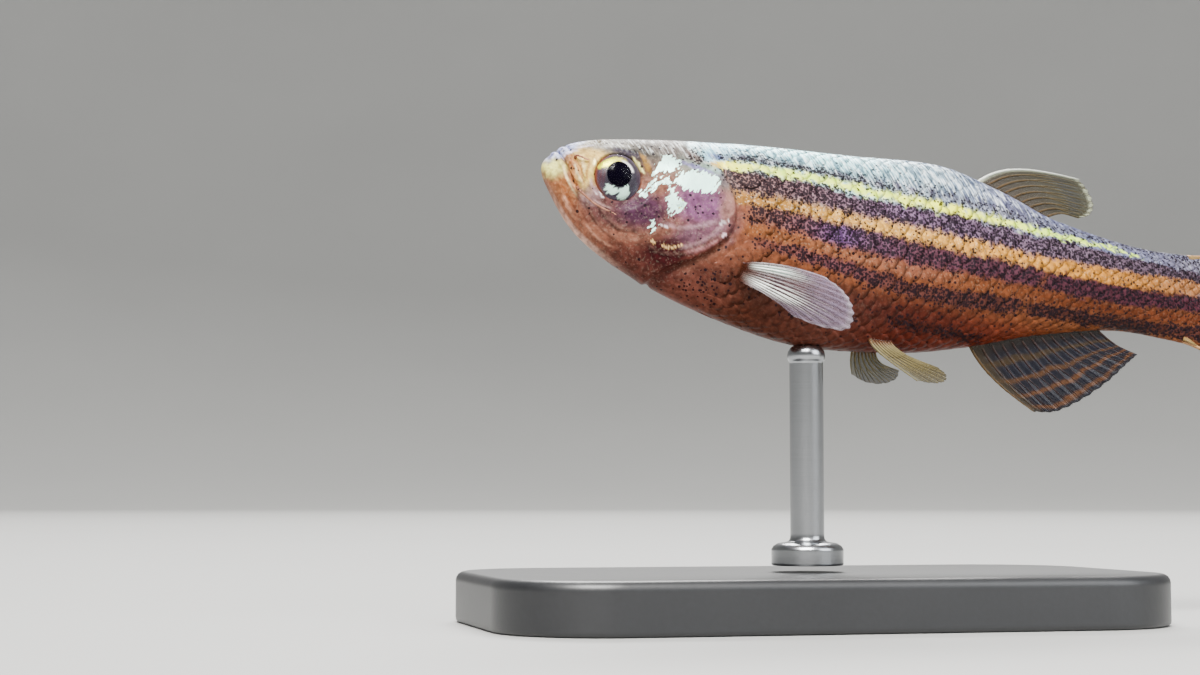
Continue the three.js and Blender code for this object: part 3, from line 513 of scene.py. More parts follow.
def paint_flank(x, z):
    """Tint of the trunk and tail, the density of its dark cells, its silver, streaks and pale flecks."""
    back = [
        (8, "#a5dcec"), (13, "#bcfcfc"), (18, "#b0d0da"), (23, "#989bbd"), (28, "#737ba0"), (33, "#6a6478"),
    ]
    tint = graded(x, *back)
    top_edge = smoothstep(z - back_at(x), -0.55, 0) * smoothstep(x, 15, 20)
    tint = mix(tint, linear("#7377b4"), 0.6 * top_edge)
    tint = mix(tint, BRIGHT * tint, smoothstep(-x, -20, -15))
    tint = mix(tint, linear("#5d625f"), 0.75 * smoothstep(z - back_at(x), -0.22, -0.02))
    columns = 0.5 + 0.5 * np.sin(2 * np.pi * (x + 0.25 * z) / 0.9)
    mottled = bump(z - 1.95, 0.42) * smoothstep(x, 7.5, 9.5) * (1 - 0.6 * smoothstep(x, 22, 27))
    mottled = mottled * (0.72 + 0.25 * columns * smoothstep(x, 12, 16))
    mottled = np.clip(mottled * (0.95 + 0.4 * wobble(x, z, 0.55, seed=15)), 0, 1)
    tint = mix(tint, linear("#5c586e"), mottled)
    over_gold = z - np.interp(x, *np.transpose(GOLD_LINE))
    peppered = bump(over_gold - 0.42, 0.24) * smoothstep(x, 7.8, 8.6) * (1 - 0.5 * smoothstep(x, 15, 19))
    tint = mix(tint, linear("#77757f"), 0.85 * peppered)
    tint = mix(tint, linear("#4a3f7c"), 0.8 * daub(x, z, 7.95, 1.66, 0.42, 0.2, 0))

    below = smoothstep(-z, -0.15, 0.25)
    lower = graded(x, (9, "#70402c"), (13, "#7c4527"), (20, "#6b3a20"), (30, "#5a321a"))
    belly = [
        (7, "#5c3228"), (10, "#4a2519"), (14, "#502a20"), (18, "#47190f"), (25, "#551f0d"), (32, "#3a1d12"),
    ]
    lower = mix(lower, graded(x, *belly), smoothstep(-z, 2.8, 4.2))
    # Painted light: the lowest band of the belly is lightened, standing in for light thrown up from below
    lower = mix(lower, 1.75 * lower, smoothstep(belly_at(x) - z, -1.6, -0.3))
    tint = mix(tint, lower, below)
    specks = bump(x - 8.2, 1.0) * bump(z + 4.6, 0.5)
    speckle = (0.02 + 0.12 * mottled + 0.9 * peppered) * (1 - below) + (0.03 + 0.22 * specks) * below
    silver = (0.75 - 0.35 * mottled) * (1 - below) + 0.12 * below
    streaks = (1 - below) * (0.35 + 0.65 * smoothstep(z, 1.7, 2.3)) * (1 - 0.65 * smoothstep(x, 22, 27))
    flecks = 0.03 * below

    def lay(mask, colour, density, shine, pale=0, scatter=0):
        """Lays a stripe over what is there; dark cells stray out to scatter."""
        nonlocal tint, speckle, silver, streaks, flecks
        flecks = flecks + (pale - flecks) * mask
        tint = mix(tint, colour, mask)
        speckle = speckle + (density - speckle) * mask
        speckle = np.maximum(speckle, 0.35 * density * scatter)
        silver = silver + (shine - silver) * mask
        streaks = streaks * (1 - mask)

    def lay_dark(line, colours, reaches, halves, first, ragged, stray, stray_first, density, shine, gap=0):
        """Lays a dark stripe whose cells stray past its edges; gap takes it out where it is 1."""
        half = np.interp(x, reaches, halves)
        mask = stripe(x, z, line, half, first, ragged=ragged)
        scatter = stripe(x, z, line, half + stray, stray_first, ragged=0.16, soft=0.3)
        lay(mask * (1 - gap), graded(x, *colours), density, shine, 0, scatter)

    cream = [
        (8, "#8c5f2a"), (11, "#9a6b2c"), (16, "#d49c46"), (22, "#cf8f38"), (28, "#b67727"), (33, "#8c5930"),
    ]
    lay(stripe(x, z, CREAM_LINE, 0.42, 8.2, ragged=0.07), graded(x, *cream), 0.03, 0.3, 0.4)
    orange = graded(x, (10, "#7d4824"), (15, "#824e34"), (18, "#834f3a"), (21, "#733f22"), (28, "#582812"))
    lay(0.85 * stripe(x, z, ORANGE_LINE, 0.28, 9.4, ragged=0.05, soft=0.6), orange, 0.02, 0.2, 0.12)
    lay_dark(
        FIRST_DARK, [(9, "#85655f"), (13, "#7c5f68"), (17, "#6f5570"), (26, "#6b5768"), (33, "#4a3a46")],
        [8, 10, 27, 30, 32, 34], [0.5, 0.57, 0.5, 0.4, 0.28, 0.2], first=7.95, ragged=0.1,
        stray=0.14, stray_first=7.8, density=1 - 0.25 * smoothstep(x, 13, 20), shine=0.15,
    )
    # A pale gap crosses the second and third dark stripes over the anal fin
    gap = x - 25.05 - 0.4 * (z - np.interp(x, *np.transpose(SECOND_DARK))) + 0.12 * wobble(x, z, 0.4, seed=19)
    lay_dark(
        SECOND_DARK,
        [
            (10, "#7c5042"), (12.5, "#714852"), (14, "#684776"), (15.6, "#634358"), (18, "#58333f"),
            (30, "#421e28"),
        ],
        [9, 12, 15, 19, 24, 30, 34], [0.36, 0.43, 0.52, 0.52, 0.46, 0.41, 0.35], first=9.7, ragged=0.08,
        stray=0.12, stray_first=9.5, density=0.95 - 0.3 * smoothstep(x, 13, 20), shine=0.12,
        gap=0.8 * bump(gap, 0.2),
    )
    lay_dark(
        THIRD_DARK, [(10, "#744234"), (14, "#643a40"), (17, "#562f28"), (30, "#44221a")],
        [10, 13, 18, 24, 28, 34], [0.22, 0.27, 0.36, 0.33, 0.24, 0.3], first=10, ragged=0.08,
        stray=0.12, stray_first=9.9, density=0.75, shine=0.08, gap=0.9 * bump(gap + 0.2, 0.3),
    )
    fourth = 0.8 * stripe(x, z, FOURTH_DARK, 0.2, 17.2, 22.4, ragged=0.1, soft=0.5)
    lay(fourth, linear("#3c160c"), 0.8, 0.08)
    gold = [
        (7.6, "#d89a34"), (8.6, "#ecee58"), (11, "#dcf262"), (16, "#e2f454"), (20, "#f2f434"),
        (25, "#d4f258"),
    ]
    half = np.interp(x, [8, 20, 25, 31], [0.23, 0.22, 0.16, 0.04])
    gilded = stripe(x, z, GOLD_LINE, half, 7.4, 30.5, ragged=0.1, soft=0.3)
    lay(gilded, BRIGHT * graded(x, *gold), 0.04, 0.4, 0.1)
    return tint, speckle, silver, streaks, flecks * (1 - 0.6 * smoothstep(x, 20, 26))


def paint_head(x, z):
    high = smoothstep(z, -0.6, 1.2)
    crown = graded(x, (2, "#948d7c"), (4, "#3d3932"), (6, "#686159"), (7.5, "#96b4a6"))
    tint = mix(linear("#7d5040"), crown, high)
    silver = 0.1 + 0.25 * high
    dotted = np.maximum(bump(x - 4.4, 1.0) * bump(z + 1.7, 0.5), bump(x - 7.2, 0.9) * bump(z + 1.1, 0.7))
    speckle = 0.01 + 0.05 * dotted + 0.06 * smoothstep(z, 0.9, 1.4)
    speckle = speckle + 0.6 * bump(x - 7.1, 0.6) * bump(z - 1.45, 0.4)
    ragged_x = x + 0.05 * wobble(x, z, 0.5, seed=3)
    ragged_z = z + 0.05 * wobble(x, z, 0.45, seed=4)
    for *oval, colour, strength in HEAD_TINTS:
        tint = mix(tint, linear(colour), strength * daub(ragged_x, ragged_z, *oval))
    # Painted shade in the crease of each fold, and a painted highlight on the ridge beside it
    for line, _, width in FOLDS:
        behind, along = off_line(x, z, line)
        ends = smoothstep(along, 0, 0.15) * (1 - smoothstep(along, 0.8, 1))
        ends = ends * (0.65 + 0.35 * wobble(x, z, 0.5, seed=9))
        tint = mix(tint, 0.5 * tint, np.clip(ends, 0, 1) * bump(behind, 0.7 * width) * 0.8)
        ridge_highlight = bump(behind - 1.4 * width, 0.6 * width)
        tint = mix(tint, linear("#c79c8c"), np.clip(ends, 0, 1) * ridge_highlight * 0.2)
    for line, colour in SNOUT_LINES:
        behind, along = off_line(x, z, line)
        ends = smoothstep(along, 0, 0.2) * (1 - smoothstep(along, 0.75, 1))
        width, strength = (0.09, 0.4) if line[0][0] > 4.5 else (0.05, 0.75)
        drawn = ends * bump(behind + 0.02 * wobble(x, z, 0.3, seed=13), width)
        tint = mix(tint, linear(colour), strength * drawn)
    # Painted light: a pale pink rim along the lower jaw's edge, for light shining through its thin skin
    rim = smoothstep(belly_at(x) - z, -0.14, -0.03) * bump(x - 2.2, 1.5)
    tint = mix(tint, linear("#e3b7a2"), 0.8 * rim)
    mottle = np.clip(0.5 + 0.9 * wobble(x, z, 0.2, seed=23), 0, 1)
    front = 1 - smoothstep(x, 2.2, 3.0)
    tint = mix(tint, 0.7 * tint * [0.95, 0.8, 0.75], mottle * (0.18 + 0.4 * front))
    plate = 0 * x
    for outline_of_plate in SILVER_PLATES:
        plate = np.maximum(plate, patch(x, z, outline_of_plate))
    # Coloured spots, and the painted highlights of the glints on the cheek and gill cover
    for *oval, colour in SPOTS_AND_PAINTED_GLINTS:
        mask = daub(ragged_x, ragged_z, *oval, soft=0.25)
        tint = mix(tint, linear(colour), mask)
        silver = np.maximum(silver, 0.8 * mask)
    for place in GLINT_ROW:
        mask = daub(x, z, *place, 0.065, 0.045, 50)
        tint = mix(tint, linear("#ffd08a"), mask)
        silver = np.maximum(silver, mask)
    return tint, speckle, silver, 0.5 * smoothstep(z, 0.9, 1.5), plate


def paint(x, z):
    """The fish's markings at places of the side view, as attributes of a mesh's points."""
    edge = [(7.2, 4.2), (7.3, 1.6), (8.3, 0.6), (9.3, -1.3), (8.9, -2.6), (7.6, -3.7), (5.5, -6)]
    behind = off_line(x, z, edge)[0]
    soft = 0.28 + 1.0 * smoothstep(z, 1.4, 2.4)
    share = smoothstep((behind + 0.08 * wobble(x, z, 0.6, seed=5)) / soft, -1, 1)
    flank, head = paint_flank(x, z), paint_head(x, z)
    tint = mix(head[0], flank[0], share)
    speckle, silver, streaks = (h + (f - h) * share for h, f in zip(head[1:4], flank[1:4]))
    plate = head[4] * (1 - share)
    flecks = flank[4] * share + 0.08 * (1 - share)
    marks = {"speckle": speckle, "silver": silver, "streaks": streaks, "plate": plate, "flecks": flecks}
    return {"tint": np.minimum(KEPT_DOWN * tint, 1), **marks}


# Meshes


def make_object(name, points, faces, finish):
    """A smooth object from points in metres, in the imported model's frame, and groups of faces."""
    mesh = bpy.data.meshes.new(name)
    mesh.from_pydata(points.tolist(), [], [face for group in faces for face in group.tolist()])
    mesh.polygons.foreach_set("use_smooth", np.ones(len(mesh.polygons), bool))
    mesh.materials.append(finish)
    made = bpy.data.objects.new(name, mesh)
    bpy.context.scene.collection.objects.link(made)
    return made


def make_piece(name, points, faces, finish, replaced, marks=None, corner_map=None):
    """A piece of the model from points in the fish's frame, in place of CAD nodes."""
    piece = make_object(name, to_frame(points), faces, finish)
    mesh = piece.data
    for mark, values in (marks or {}).items():
        if values.ndim == 2:
            colours = np.append(values, np.ones((len(values), 1)), axis=1).astype(np.float32)
            mesh.attributes.new(mark, "FLOAT_COLOR", "POINT").data.foreach_set("color", colours.ravel())
        else:
            mesh.attributes.new(mark, "FLOAT", "POINT").data.foreach_set("value", values.astype(np.float32))
    if corner_map is not None:
        mesh.uv_layers.new(name="OFBake").uv.foreach_set("vector", corner_map.astype(np.float32).ravel())
    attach(piece, "root")
    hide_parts(*replaced)


def grid_faces(rows, columns, start=0, wrap=True, flip=False):
    """The four-sided faces of a grid of points; a wrapped grid is closed along its rows."""
    row, column = np.meshgrid(np.arange(rows - 1), np.arange(columns if wrap else columns - 1), indexing="ij")
    beside = (column + 1) % columns
    here, ahead = row * columns, (row + 1) * columns
    corners = [here + column, here + beside, ahead + beside, ahead + column]
    faces = np.stack(corners, -1).reshape(-1, 4) + start
    return faces[:, ::-1] if flip else faces


def fan_faces(centre, ring, flip=False):
    """The triangles from a centre to a closed ring of points."""
    faces = np.stack([np.full_like(ring, centre), ring, np.roll(ring, -1)], -1)
    return faces[:, ::-1] if flip else faces


def capped_faces(rings, sides, start=0):
    """The faces of a closed row of rings, whose two end points come after the rings' own."""
    count = rings * sides
    return [
        grid_faces(rings, sides, start=start),
        fan_faces(start + count, start + np.arange(sides), flip=True),
        fan_faces(start + count + 1, start + np.arange(count - sides, count)),
    ]


def tube(middle, across, upward, radius, sides, start, wide=1, high=1):
    """A closed tube along a line of points, and its faces from start on."""
    angle = 2 * np.pi * np.arange(sides) / sides
    radius = radius[:, None, None]
    ring = (
        middle[:, None]
        + (wide * np.cos(angle))[None, :, None] * radius * across[:, None]
        + (high * np.sin(angle))[None, :, None] * radius * upward[:, None]
    )
    points = np.vstack([ring.reshape(-1, 3), middle[:1], middle[-1:]])
    return points, capped_faces(len(middle), sides, start)


AROUND = 236  # points round each ring of the skin
REAR_RINGS = 14  # rings that round off the skin's rear end


def skin_rings():
    """The skin's rings of points before they are pushed in or out, with the chin's tip and the rear."""
    chin, low, high = section_ends()
    half = AROUND // 2
    step = np.arange(AROUND)
    share = ((1 - np.cos(np.pi * step / half)) / 2)[:, None]
    side_view = low[:, None] + (high - low)[:, None] * share
    x, z = side_view[..., 0], side_view[..., 1]
    side = np.where(step % half == 0, 0, np.where(step < half, 1, -1))
    rings = np.stack([x, side * flank_at(x, z), z], -1)
    last = rings[-1]
    rear = []
    for t in np.linspace(0, 1, REAR_RINGS + 1)[1:]:
        ring = last.copy()
        bow = 1 - ((last[:, 2] + 0.2) / 2.4) ** 2
        ring[:, 0] += t * (0.55 + 0.45 * bow)
        ring[:, 1] *= np.sqrt(1 - 0.97 * t**2)
        rear.append(ring)
    return chin, np.concatenate([rings, rear])


def make_skin(finish):
    chin, rings = skin_rings()
    around = np.roll(rings, -1, axis=1) - np.roll(rings, 1, axis=1)
    along = np.gradient(rings, axis=0)
    outward = np.cross(around, along)
    outward /= np.maximum(np.linalg.norm(outward, axis=-1, keepdims=True), 1e-9)
    x, y, z = (rings[..., k] for k in range(3))
    relief = head_relief(x, z) * (x < 12) + nostril_relief(x, y, z) - SCALE_DEPTH
    points = seat_eye(rings + outward * relief[..., None])
    rows, columns = points.shape[:2]
    flat = points.reshape(-1, 3)
    tip = [chin[0], 0, chin[1]]
    rear = points[-1].mean(0)
    everything = np.vstack([flat, tip, rear])
    side_x = np.append(x.ravel(), [chin[0], BODY_LENGTH])
    side_z = np.append(z.ravel(), [chin[1], 0])
    row, column = np.meshgrid(np.arange(rows - 1), np.arange(columns), indexing="ij")
    u, v = row.ravel()[:, None] + [0, 0, 1, 1], column.ravel()[:, None] + [0, 1, 1, 0]
    quads = np.stack([u / rows, v / columns], -1).reshape(-1, 2)
    ends = np.zeros((2 * columns * 3, 2))
    ends[:, 0] = np.repeat([0, 1 - 1 / rows], columns * 3)
    ends[:, 1] = np.tile(np.repeat(np.arange(columns), 3) / columns, 2)
    make_piece(
        "skin", everything, capped_faces(rows, columns), finish, ["head", "trunk", "tail"],
        paint(side_x, side_z),
        np.vstack([quads, ends]),
    )
    return x[:, 0], rows


SCALE_ROWS = 13  # rows of scales from the back to the belly
SCALE_LENGTH = 0.78  # a scale's half length, as a share of the step between every other column
SCALE_SPREAD = 0.62  # a scale's half height, as a share of the step between rows


def scale_height(reach, turn):
    """The height of a place on the flank from its turn round the body."""
    level = beam_level_at(reach)
    return level + (back_at(reach) - level if turn > 0 else level - belly_at(reach)) * np.sin(turn)


def scale_lattice():
    """The scales' roots as (reach, turn round the flank, side, length, spread)."""
    opening = through(GILL_OPENING, np.linspace(0, 1, 60), centripetal=False)[::-1]
    reach = 8.7
    column = 0
    while reach < 34.2:
        pitch = np.interp(reach, [9, 20, 30, 34], [0.82, 0.84, 0.68, 0.55])
        for row in range(SCALE_ROWS):
            for side in (-1, 1):
                turn = np.pi / 2 * (1 - 2 * (row + 0.5 * (column % 2) + 0.25) / SCALE_ROWS)
                opening_reach = np.interp(scale_height(reach, turn), opening[:, 1], opening[:, 0])
                length = SCALE_LENGTH * pitch
                if reach - length > opening_reach + 0.1:
                    yield reach, turn, side, length, np.pi / SCALE_ROWS * SCALE_SPREAD
        reach += pitch / 2
        column += 1


def make_scales(finish, reach_of_ring, rows):
    """Low, overlapping plates over the trunk and tail, each a closed shell rooted in the skin."""
    spokes, rings = 14, 3
    angle = 2 * np.pi * np.arange(spokes) / spokes
    radius = np.linspace(0, 1, rings + 1)[1:]
    forward = np.append(0, np.outer(radius, np.cos(angle)).ravel())
    across = np.append(0, np.outer(radius, np.sin(angle)).ravel())
    per_plate = 1 + (rings + 1) * spokes
    plate_faces = [fan_faces(0, 1 + np.arange(spokes))]
    plate_faces += [grid_faces(rings + 1, spokes, start=1, flip=True)]
    under = np.arange(per_plate - spokes, per_plate)
    points, quads, tris, u_at, v_at = [], [], [], [], []
    draw = np.random.default_rng(4)
    for reach, turn, side, length, spread in scale_lattice():
        x = reach + length * forward
        swing = turn + spread * across * (1 + 0.08 * draw.uniform(-1, 1))
        x = np.append(x, reach + 0.97 * length * np.cos(angle))
        swing = np.append(swing, turn + 0.97 * spread * np.sin(angle))
        level = beam_level_at(x)
        tall = np.where(swing > 0, back_at(x) - level, level - belly_at(x))
        z = level + tall * np.sin(swing)
        out = np.stack([np.zeros_like(x), np.cos(swing) / half_width_at(x), np.sin(swing) / tall], -1)
        out /= np.linalg.norm(out, axis=1, keepdims=True)
        lift = -0.034 + 0.041 * (1 + forward) / 2 - 0.012 * np.hypot(forward, across) ** 4
        lift = np.append(lift + 0.004 * draw.uniform(-1, 1), np.full(spokes, -0.07))
        place = np.stack([x, half_width_at(x) * np.cos(swing), z], -1) + out * (lift - 0.004)[:, None]
        place[:, 1] *= side
        start = len(points) * per_plate
        flipped = side > 0
        for group, faces in ((tris, plate_faces[0]), (quads, plate_faces[1])):
            group.append((faces[:, ::-1] if flipped else faces) + start)
        closing = fan_faces(under[0], under[1:])[:-1]
        tris.append((closing if flipped else closing[:, ::-1]) + start)
        points.append(place)
        up = (scale_height(reach, turn) - belly_at(reach)) / (back_at(reach) - belly_at(reach))
        step = np.arccos(np.clip(1 - 2 * up, -1, 1)) / np.pi / 2
        u_at.append(np.interp(reach, reach_of_ring, np.arange(len(reach_of_ring))) / rows)
        v_at.append(step if side > 0 else 1 - step)
    points = np.concatenate(points)
    tris, quads = np.concatenate(tris), np.concatenate(quads)
    patch_size = 0.0015
    offset = np.stack([np.append(forward, np.cos(angle)), np.append(across, np.sin(angle))], -1) * patch_size
    root = np.repeat(np.stack([u_at, v_at], -1), per_plate, axis=0)
    place_map = root + np.tile(offset, (len(u_at), 1))
    corners = np.vstack([place_map[tris.ravel()], place_map[quads.ravel()]])
    marks = paint(points[:, 0], points[:, 2])
    # Painted shade: each scale's tint is darkened towards its raised rear edge
    rim = smoothstep(np.hypot(forward, across), 0.6, 1) * smoothstep(forward, -0.4, 0.3)
    rim = np.tile(np.append(rim, np.zeros(spokes)), len(u_at))
    marks["tint"] = marks["tint"] * (1 - 0.1 * rim)[:, None]
    make_piece("scales", points, [tris, quads], finish, [], marks, corners)


def dome_points(centre, radii, side, share_of_turn, rings, spokes):
    """Rings of a dome that faces outwards, from its rim to its top, and the top."""
    polar = np.linspace(share_of_turn, 0, rings + 1)[:-1] * np.pi / 2
    angle = 2 * np.pi * np.arange(spokes) / spokes
    wide, high = np.sin(polar)[:, None], np.cos(polar)[:, None]
    x = centre[0] + radii[0] * wide * np.cos(angle)
    z = centre[2] + radii[2] * wide * np.sin(angle)
    y = np.broadcast_to(centre[1] + radii[1] * high, x.shape)
    points = np.stack([x, side * y, z], -1).reshape(-1, 3)
    return np.vstack([points, [centre[0], side * (centre[1] + radii[1]), centre[2]]])


def closed_dome(points, spokes, depth, side):
    """Shuts a dome with a flat back, depth behind its rim, and gives points and faces."""
    count = len(points)
    rim = points[:spokes].copy()
    rim[:, 1] -= side * depth
    points = np.vstack([points, rim, rim.mean(0)])
    rings = (count - 1) // spokes
    flip = side > 0
    rim_ring = np.arange(count, count + spokes)
    skirt = np.stack([rim_ring, np.roll(rim_ring, -1), np.roll(np.arange(spokes), -1), np.arange(spokes)], -1)
    faces = [
        grid_faces(rings, spokes, flip=flip),
        skirt[:, ::-1] if flip else skirt,
        fan_faces(count - 1, np.arange(count - 1 - spokes, count - 1), flip=flip),
        fan_faces(len(points) - 1, rim_ring, flip=not flip),
    ]
    return points, faces


def paint_iris(x, z):
    """The iris's colours: a gold and a white crescent over the pupil, silver patches under it."""
    away = np.hypot(x - PUPIL[0], z - PUPIL[1])
    from_centre = np.hypot(x - EYE_CENTRE[0], z - EYE_CENTRE[2])
    angle = np.degrees(np.arctan2(z - PUPIL[1], x - PUPIL[0]))
    streak = wobble(angle / 40, away, 0.35, seed=21)
    tint = mix(linear("#2b2430"), linear("#4c4152"), smoothstep(from_centre, 0.7, 1.1))
    front = smoothstep(-x, -PUPIL[0] + 0.55, -PUPIL[0] + 0.75) * bump(z - PUPIL[1] + 0.15, 0.6)
    tint = mix(tint, linear("#4c1f22"), 0.8 * front * (0.6 + 0.4 * np.sin(x * 38)))
    rim = smoothstep(from_centre, 0.98, 1.1)
    tint = mix(tint, mix(linear("#5f5564"), linear("#7a3f24"), smoothstep(-x, -3.1, -2.5)), rim)
    ragged = 0.03 * streak + 0.035 * wobble(x, z, 0.13, seed=22)
    tint = KEPT_DOWN * tint
    gold = daub(x + ragged, z + ragged, 2.82, 0.26, 0.52, 0.17, 36, soft=0.25)
    turn = smoothstep(angle, 62, 80)
    over = bump(away - 0.72 + ragged, 0.1) * turn * (1 - smoothstep(angle, 140, 170))
    gold = np.maximum(gold, over)
    white = bump(away - 0.68, 0.06) * smoothstep(angle, 14, 26) * (1 - smoothstep(angle, 75, 95))
    lobes = [
        [(2.83, -0.78), (2.8, -1.0), (2.95, -1.16), (3.25, -1.22), (3.4, -1.1), (3.38, -0.93), (3.1, -0.88)],
        [(3.42, -0.95), (3.47, -1.25), (3.62, -1.38), (3.87, -1.28), (3.98, -1.03), (3.92, -0.78),
         (3.74, -0.68), (3.65, -0.86)],
    ]
    silver = np.maximum(*[smoothstep(patch(x + ragged, z + ragged, lobe, 0.1), 0.35, 0.6) for lobe in lobes])
    tint = mix(tint, mix(linear("#cfd000"), linear("#efe466"), smoothstep(x, 2.85, 3.3)), gold)
    tint = mix(tint, linear("#fbf6f2"), white)
    tint = mix(tint, linear("#d4ffea"), silver)
    tint = mix(tint, linear("#0b0913"), 1 - smoothstep(away, PUPIL_RADIUS - 0.01, PUPIL_RADIUS + 0.03))
    bright = np.maximum(np.maximum(gold, white), silver)
    return {"tint": tint, "silver": 0.9 * bright + 0.15 * (1 - bright)}


def make_eye(side, word, iris_finish, lens_finish, cornea_finish):
    node = f"eye_{word}"
    spokes = 96
    ball = dome_points(EYE_CENTRE, EYE_RADII * [0.975, 0.8, 0.975], side, 0.97, 30, spokes)
    points, faces = closed_dome(ball, spokes, 0.5, side)
    marks = paint_iris(points[:, 0], points[:, 2])
    make_piece(f"iris_{word}", points, faces, iris_finish, [node], marks)
    lens_centre = [PUPIL[0], EYE_CENTRE[1] + 0.52, PUPIL[1]]
    points, faces = closed_dome(dome_points(lens_centre, [0.6, 0.22, 0.62], side, 1, 12, 48), 48, 0.08, side)
    make_piece(f"lens_{word}", points, faces, lens_finish, [node])
    points, faces = closed_dome(dome_points(EYE_CENTRE, EYE_RADII, side, 0.9, 24, spokes), spokes, 0.01, side)
    make_piece(f"cornea_{word}", points, faces, cornea_finish, [node])


# Fins

JOINTS_OF_RAY = 22


class Fin:
    """A fin's form: rays run from a root line to points along a margin, as curves of four controls.

    leave is how a ray sets out from its root, bow how far its middle is bent out, sway how far the fin
    stands off sideways, and sink how deep the ray starts under its root.
    """

    def __init__(self, rays, root, leave, margin, bow, sway, sink, thick=0.3, notch=0.012):
        self.rays, self.root, self.leave, self.bow, self.sway = rays, root, leave, bow, sway
        self.margin, self.sink, self.thick, self.notch = margin, sink, thick, notch

    def centre(self, t, v, short=True):
        """Points of the fin's middle sheet: t runs from the first ray to the last, v from root to margin."""
        t, v = np.broadcast_arrays(np.asarray(t, float), np.asarray(v, float))
        shape, t, v = t.shape, t.ravel(), v.ravel()
        between = np.sin(np.pi * t * (self.rays - 1)) ** 2
        reach = (v * (1 - self.notch * v * between if short else 1))[:, None]
        buried = self.root(t) + self.sink(t)
        tip = through(self.margin, t)
        first = self.root(t) + self.leave(t)
        second = (self.root(t) + tip) / 2 + self.bow(t)
        h = 1 - reach
        points = h**3 * buried + 3 * h**2 * reach * first + 3 * h * reach**2 * second + reach**3 * tip
        points[:, 1] += self.sway(t, v)
        return points.reshape(*shape, 3)

    def normal(self, t, v):
        d = 0.01
        spread = self.centre(np.minimum(1, t + d), v, False) - self.centre(np.maximum(0, t - d), v, False)
        flow = self.centre(t, np.minimum(1, v + d), False) - self.centre(t, np.maximum(0, v - d), False)
        out = np.cross(spread, flow)
        return out / np.maximum(np.linalg.norm(out, axis=-1, keepdims=True), 1e-9)

    def membrane(self):
        """The skin between the rays as a thin closed shell."""
        columns, rows = 8 * (self.rays - 1) + 1, 46
        t, v = np.meshgrid(np.linspace(0, 1, columns), np.linspace(0, 1, rows), indexing="ij")
        middle, normal = self.centre(t, v), self.normal(t, v)
        thick = 0.028 + self.thick * bump(v, 0.1) - 0.014 * v
        pucker = 0.02 * v * np.sin(2 * np.pi * t * (self.rays - 1))
        faces, shell = [], []
        for face in (1, -1):
            shell.append((middle + normal * (pucker + face * thick / 2)[..., None]).reshape(-1, 3))
        count = columns * rows
        faces.append(grid_faces(columns, rows, wrap=False, flip=True))
        faces.append(grid_faces(columns, rows, start=count, wrap=False))
        index = np.arange(count).reshape(columns, rows)
        edge = np.concatenate([index[:, 0], index[-1, 1:], index[-2::-1, -1], index[0, -2:0:-1]])
        ahead = np.roll(edge, -1)
        faces.append(np.stack([edge, edge + count, ahead + count, ahead], -1))
        t2, v2 = np.tile(t.ravel(), 2), np.tile(v.ravel(), 2)
        return np.concatenate(shell), faces, t2, v2

    def strand(self, t_of_v, first, last, radius_of_v, start):
        """One ray, or one branch of it, as a jointed tube that is a little thicker than it is wide."""
        sides, steps = 6, max(8, int(44 * (last - first)))
        v = np.linspace(first, last, steps + 1)
        t = np.clip(t_of_v(v), 0, 1)
        middle, normal = self.centre(t, v, False), self.normal(t, v)
        flow = np.gradient(middle, axis=0)
        across = np.cross(normal, flow)
        across /= np.maximum(np.linalg.norm(across, axis=-1, keepdims=True), 1e-9)
        joints = 1 + 0.13 * smoothstep(v, 0.3, 0.4) * np.sign(np.sin(2 * np.pi * v * JOINTS_OF_RAY))
        points, faces = tube(middle, across, normal, radius_of_v(v) * joints, sides, start, 0.85, 1.15)
        along = np.append(np.repeat(v, sides), [first, last])
        return points, faces, np.append(np.repeat(t, sides), [t[0], t[-1]]), along

    def make(self, name, node, finish, paint_membrane, paint_rays, root_radius=0.085, splits=2):
        points, faces, t, v = self.membrane()
        tint, opacity, shine = paint_membrane(t, v)
        parts = [(points, faces, tint, opacity, shine)]
        start = len(points)
        gap = 1 / (self.rays - 1)

        def radius(v):
            return root_radius * (1 - 0.78 * v) + 0.006

        for ray in range(self.rays):
            t_ray = ray * gap
            plain = ray == 0
            forks = [(0, 1, [0])] if plain else [(0, 0.47, [0])]
            if not plain:
                last = 0.74 if splits > 1 else 1
                forks += [(0.44, last, [-0.5, 0.5])]
                forks += [(0.71, 1, [-0.75, -0.25, 0.25, 0.75])] if splits > 1 else []
            for level, (first, last, places) in enumerate(forks):
                for place in places:
                    before = {0: 0, 1: 0, 2: np.sign(place) * 0.5}[level]

                    def t_of_v(v, place=place, before=before, first=first, last=last):
                        share = smoothstep(v, first, first + 0.3)
                        return t_ray + 0.5 * gap * (before + (place - before) * share)

                    slim = (1, 0.72, 0.55)[level]
                    made = self.strand(t_of_v, first, last, lambda v: radius(v) * slim, start)
                    tint, opacity, shine = paint_rays(made[2], made[3])
                    parts.append((made[0], made[1], tint, opacity, shine))
                    start += len(made[0])
        everything = np.concatenate([p[0] for p in parts])
        marks = {
            "tint": np.concatenate([p[2] for p in parts]),
            "opacity": np.concatenate([p[3] for p in parts]),
            "silver": np.concatenate([p[4] for p in parts]),
        }
        make_piece(name, everything, [f for p in parts for f in p[1]], finish, [node], marks)


def rowed(*columns):
    return np.stack(np.broadcast_arrays(*columns), -1).astype(float)


def flat(pairs):
    return [(x, 0, z) for x, z in pairs]


def full(v, value):
    return np.full(v.shape, float(value))


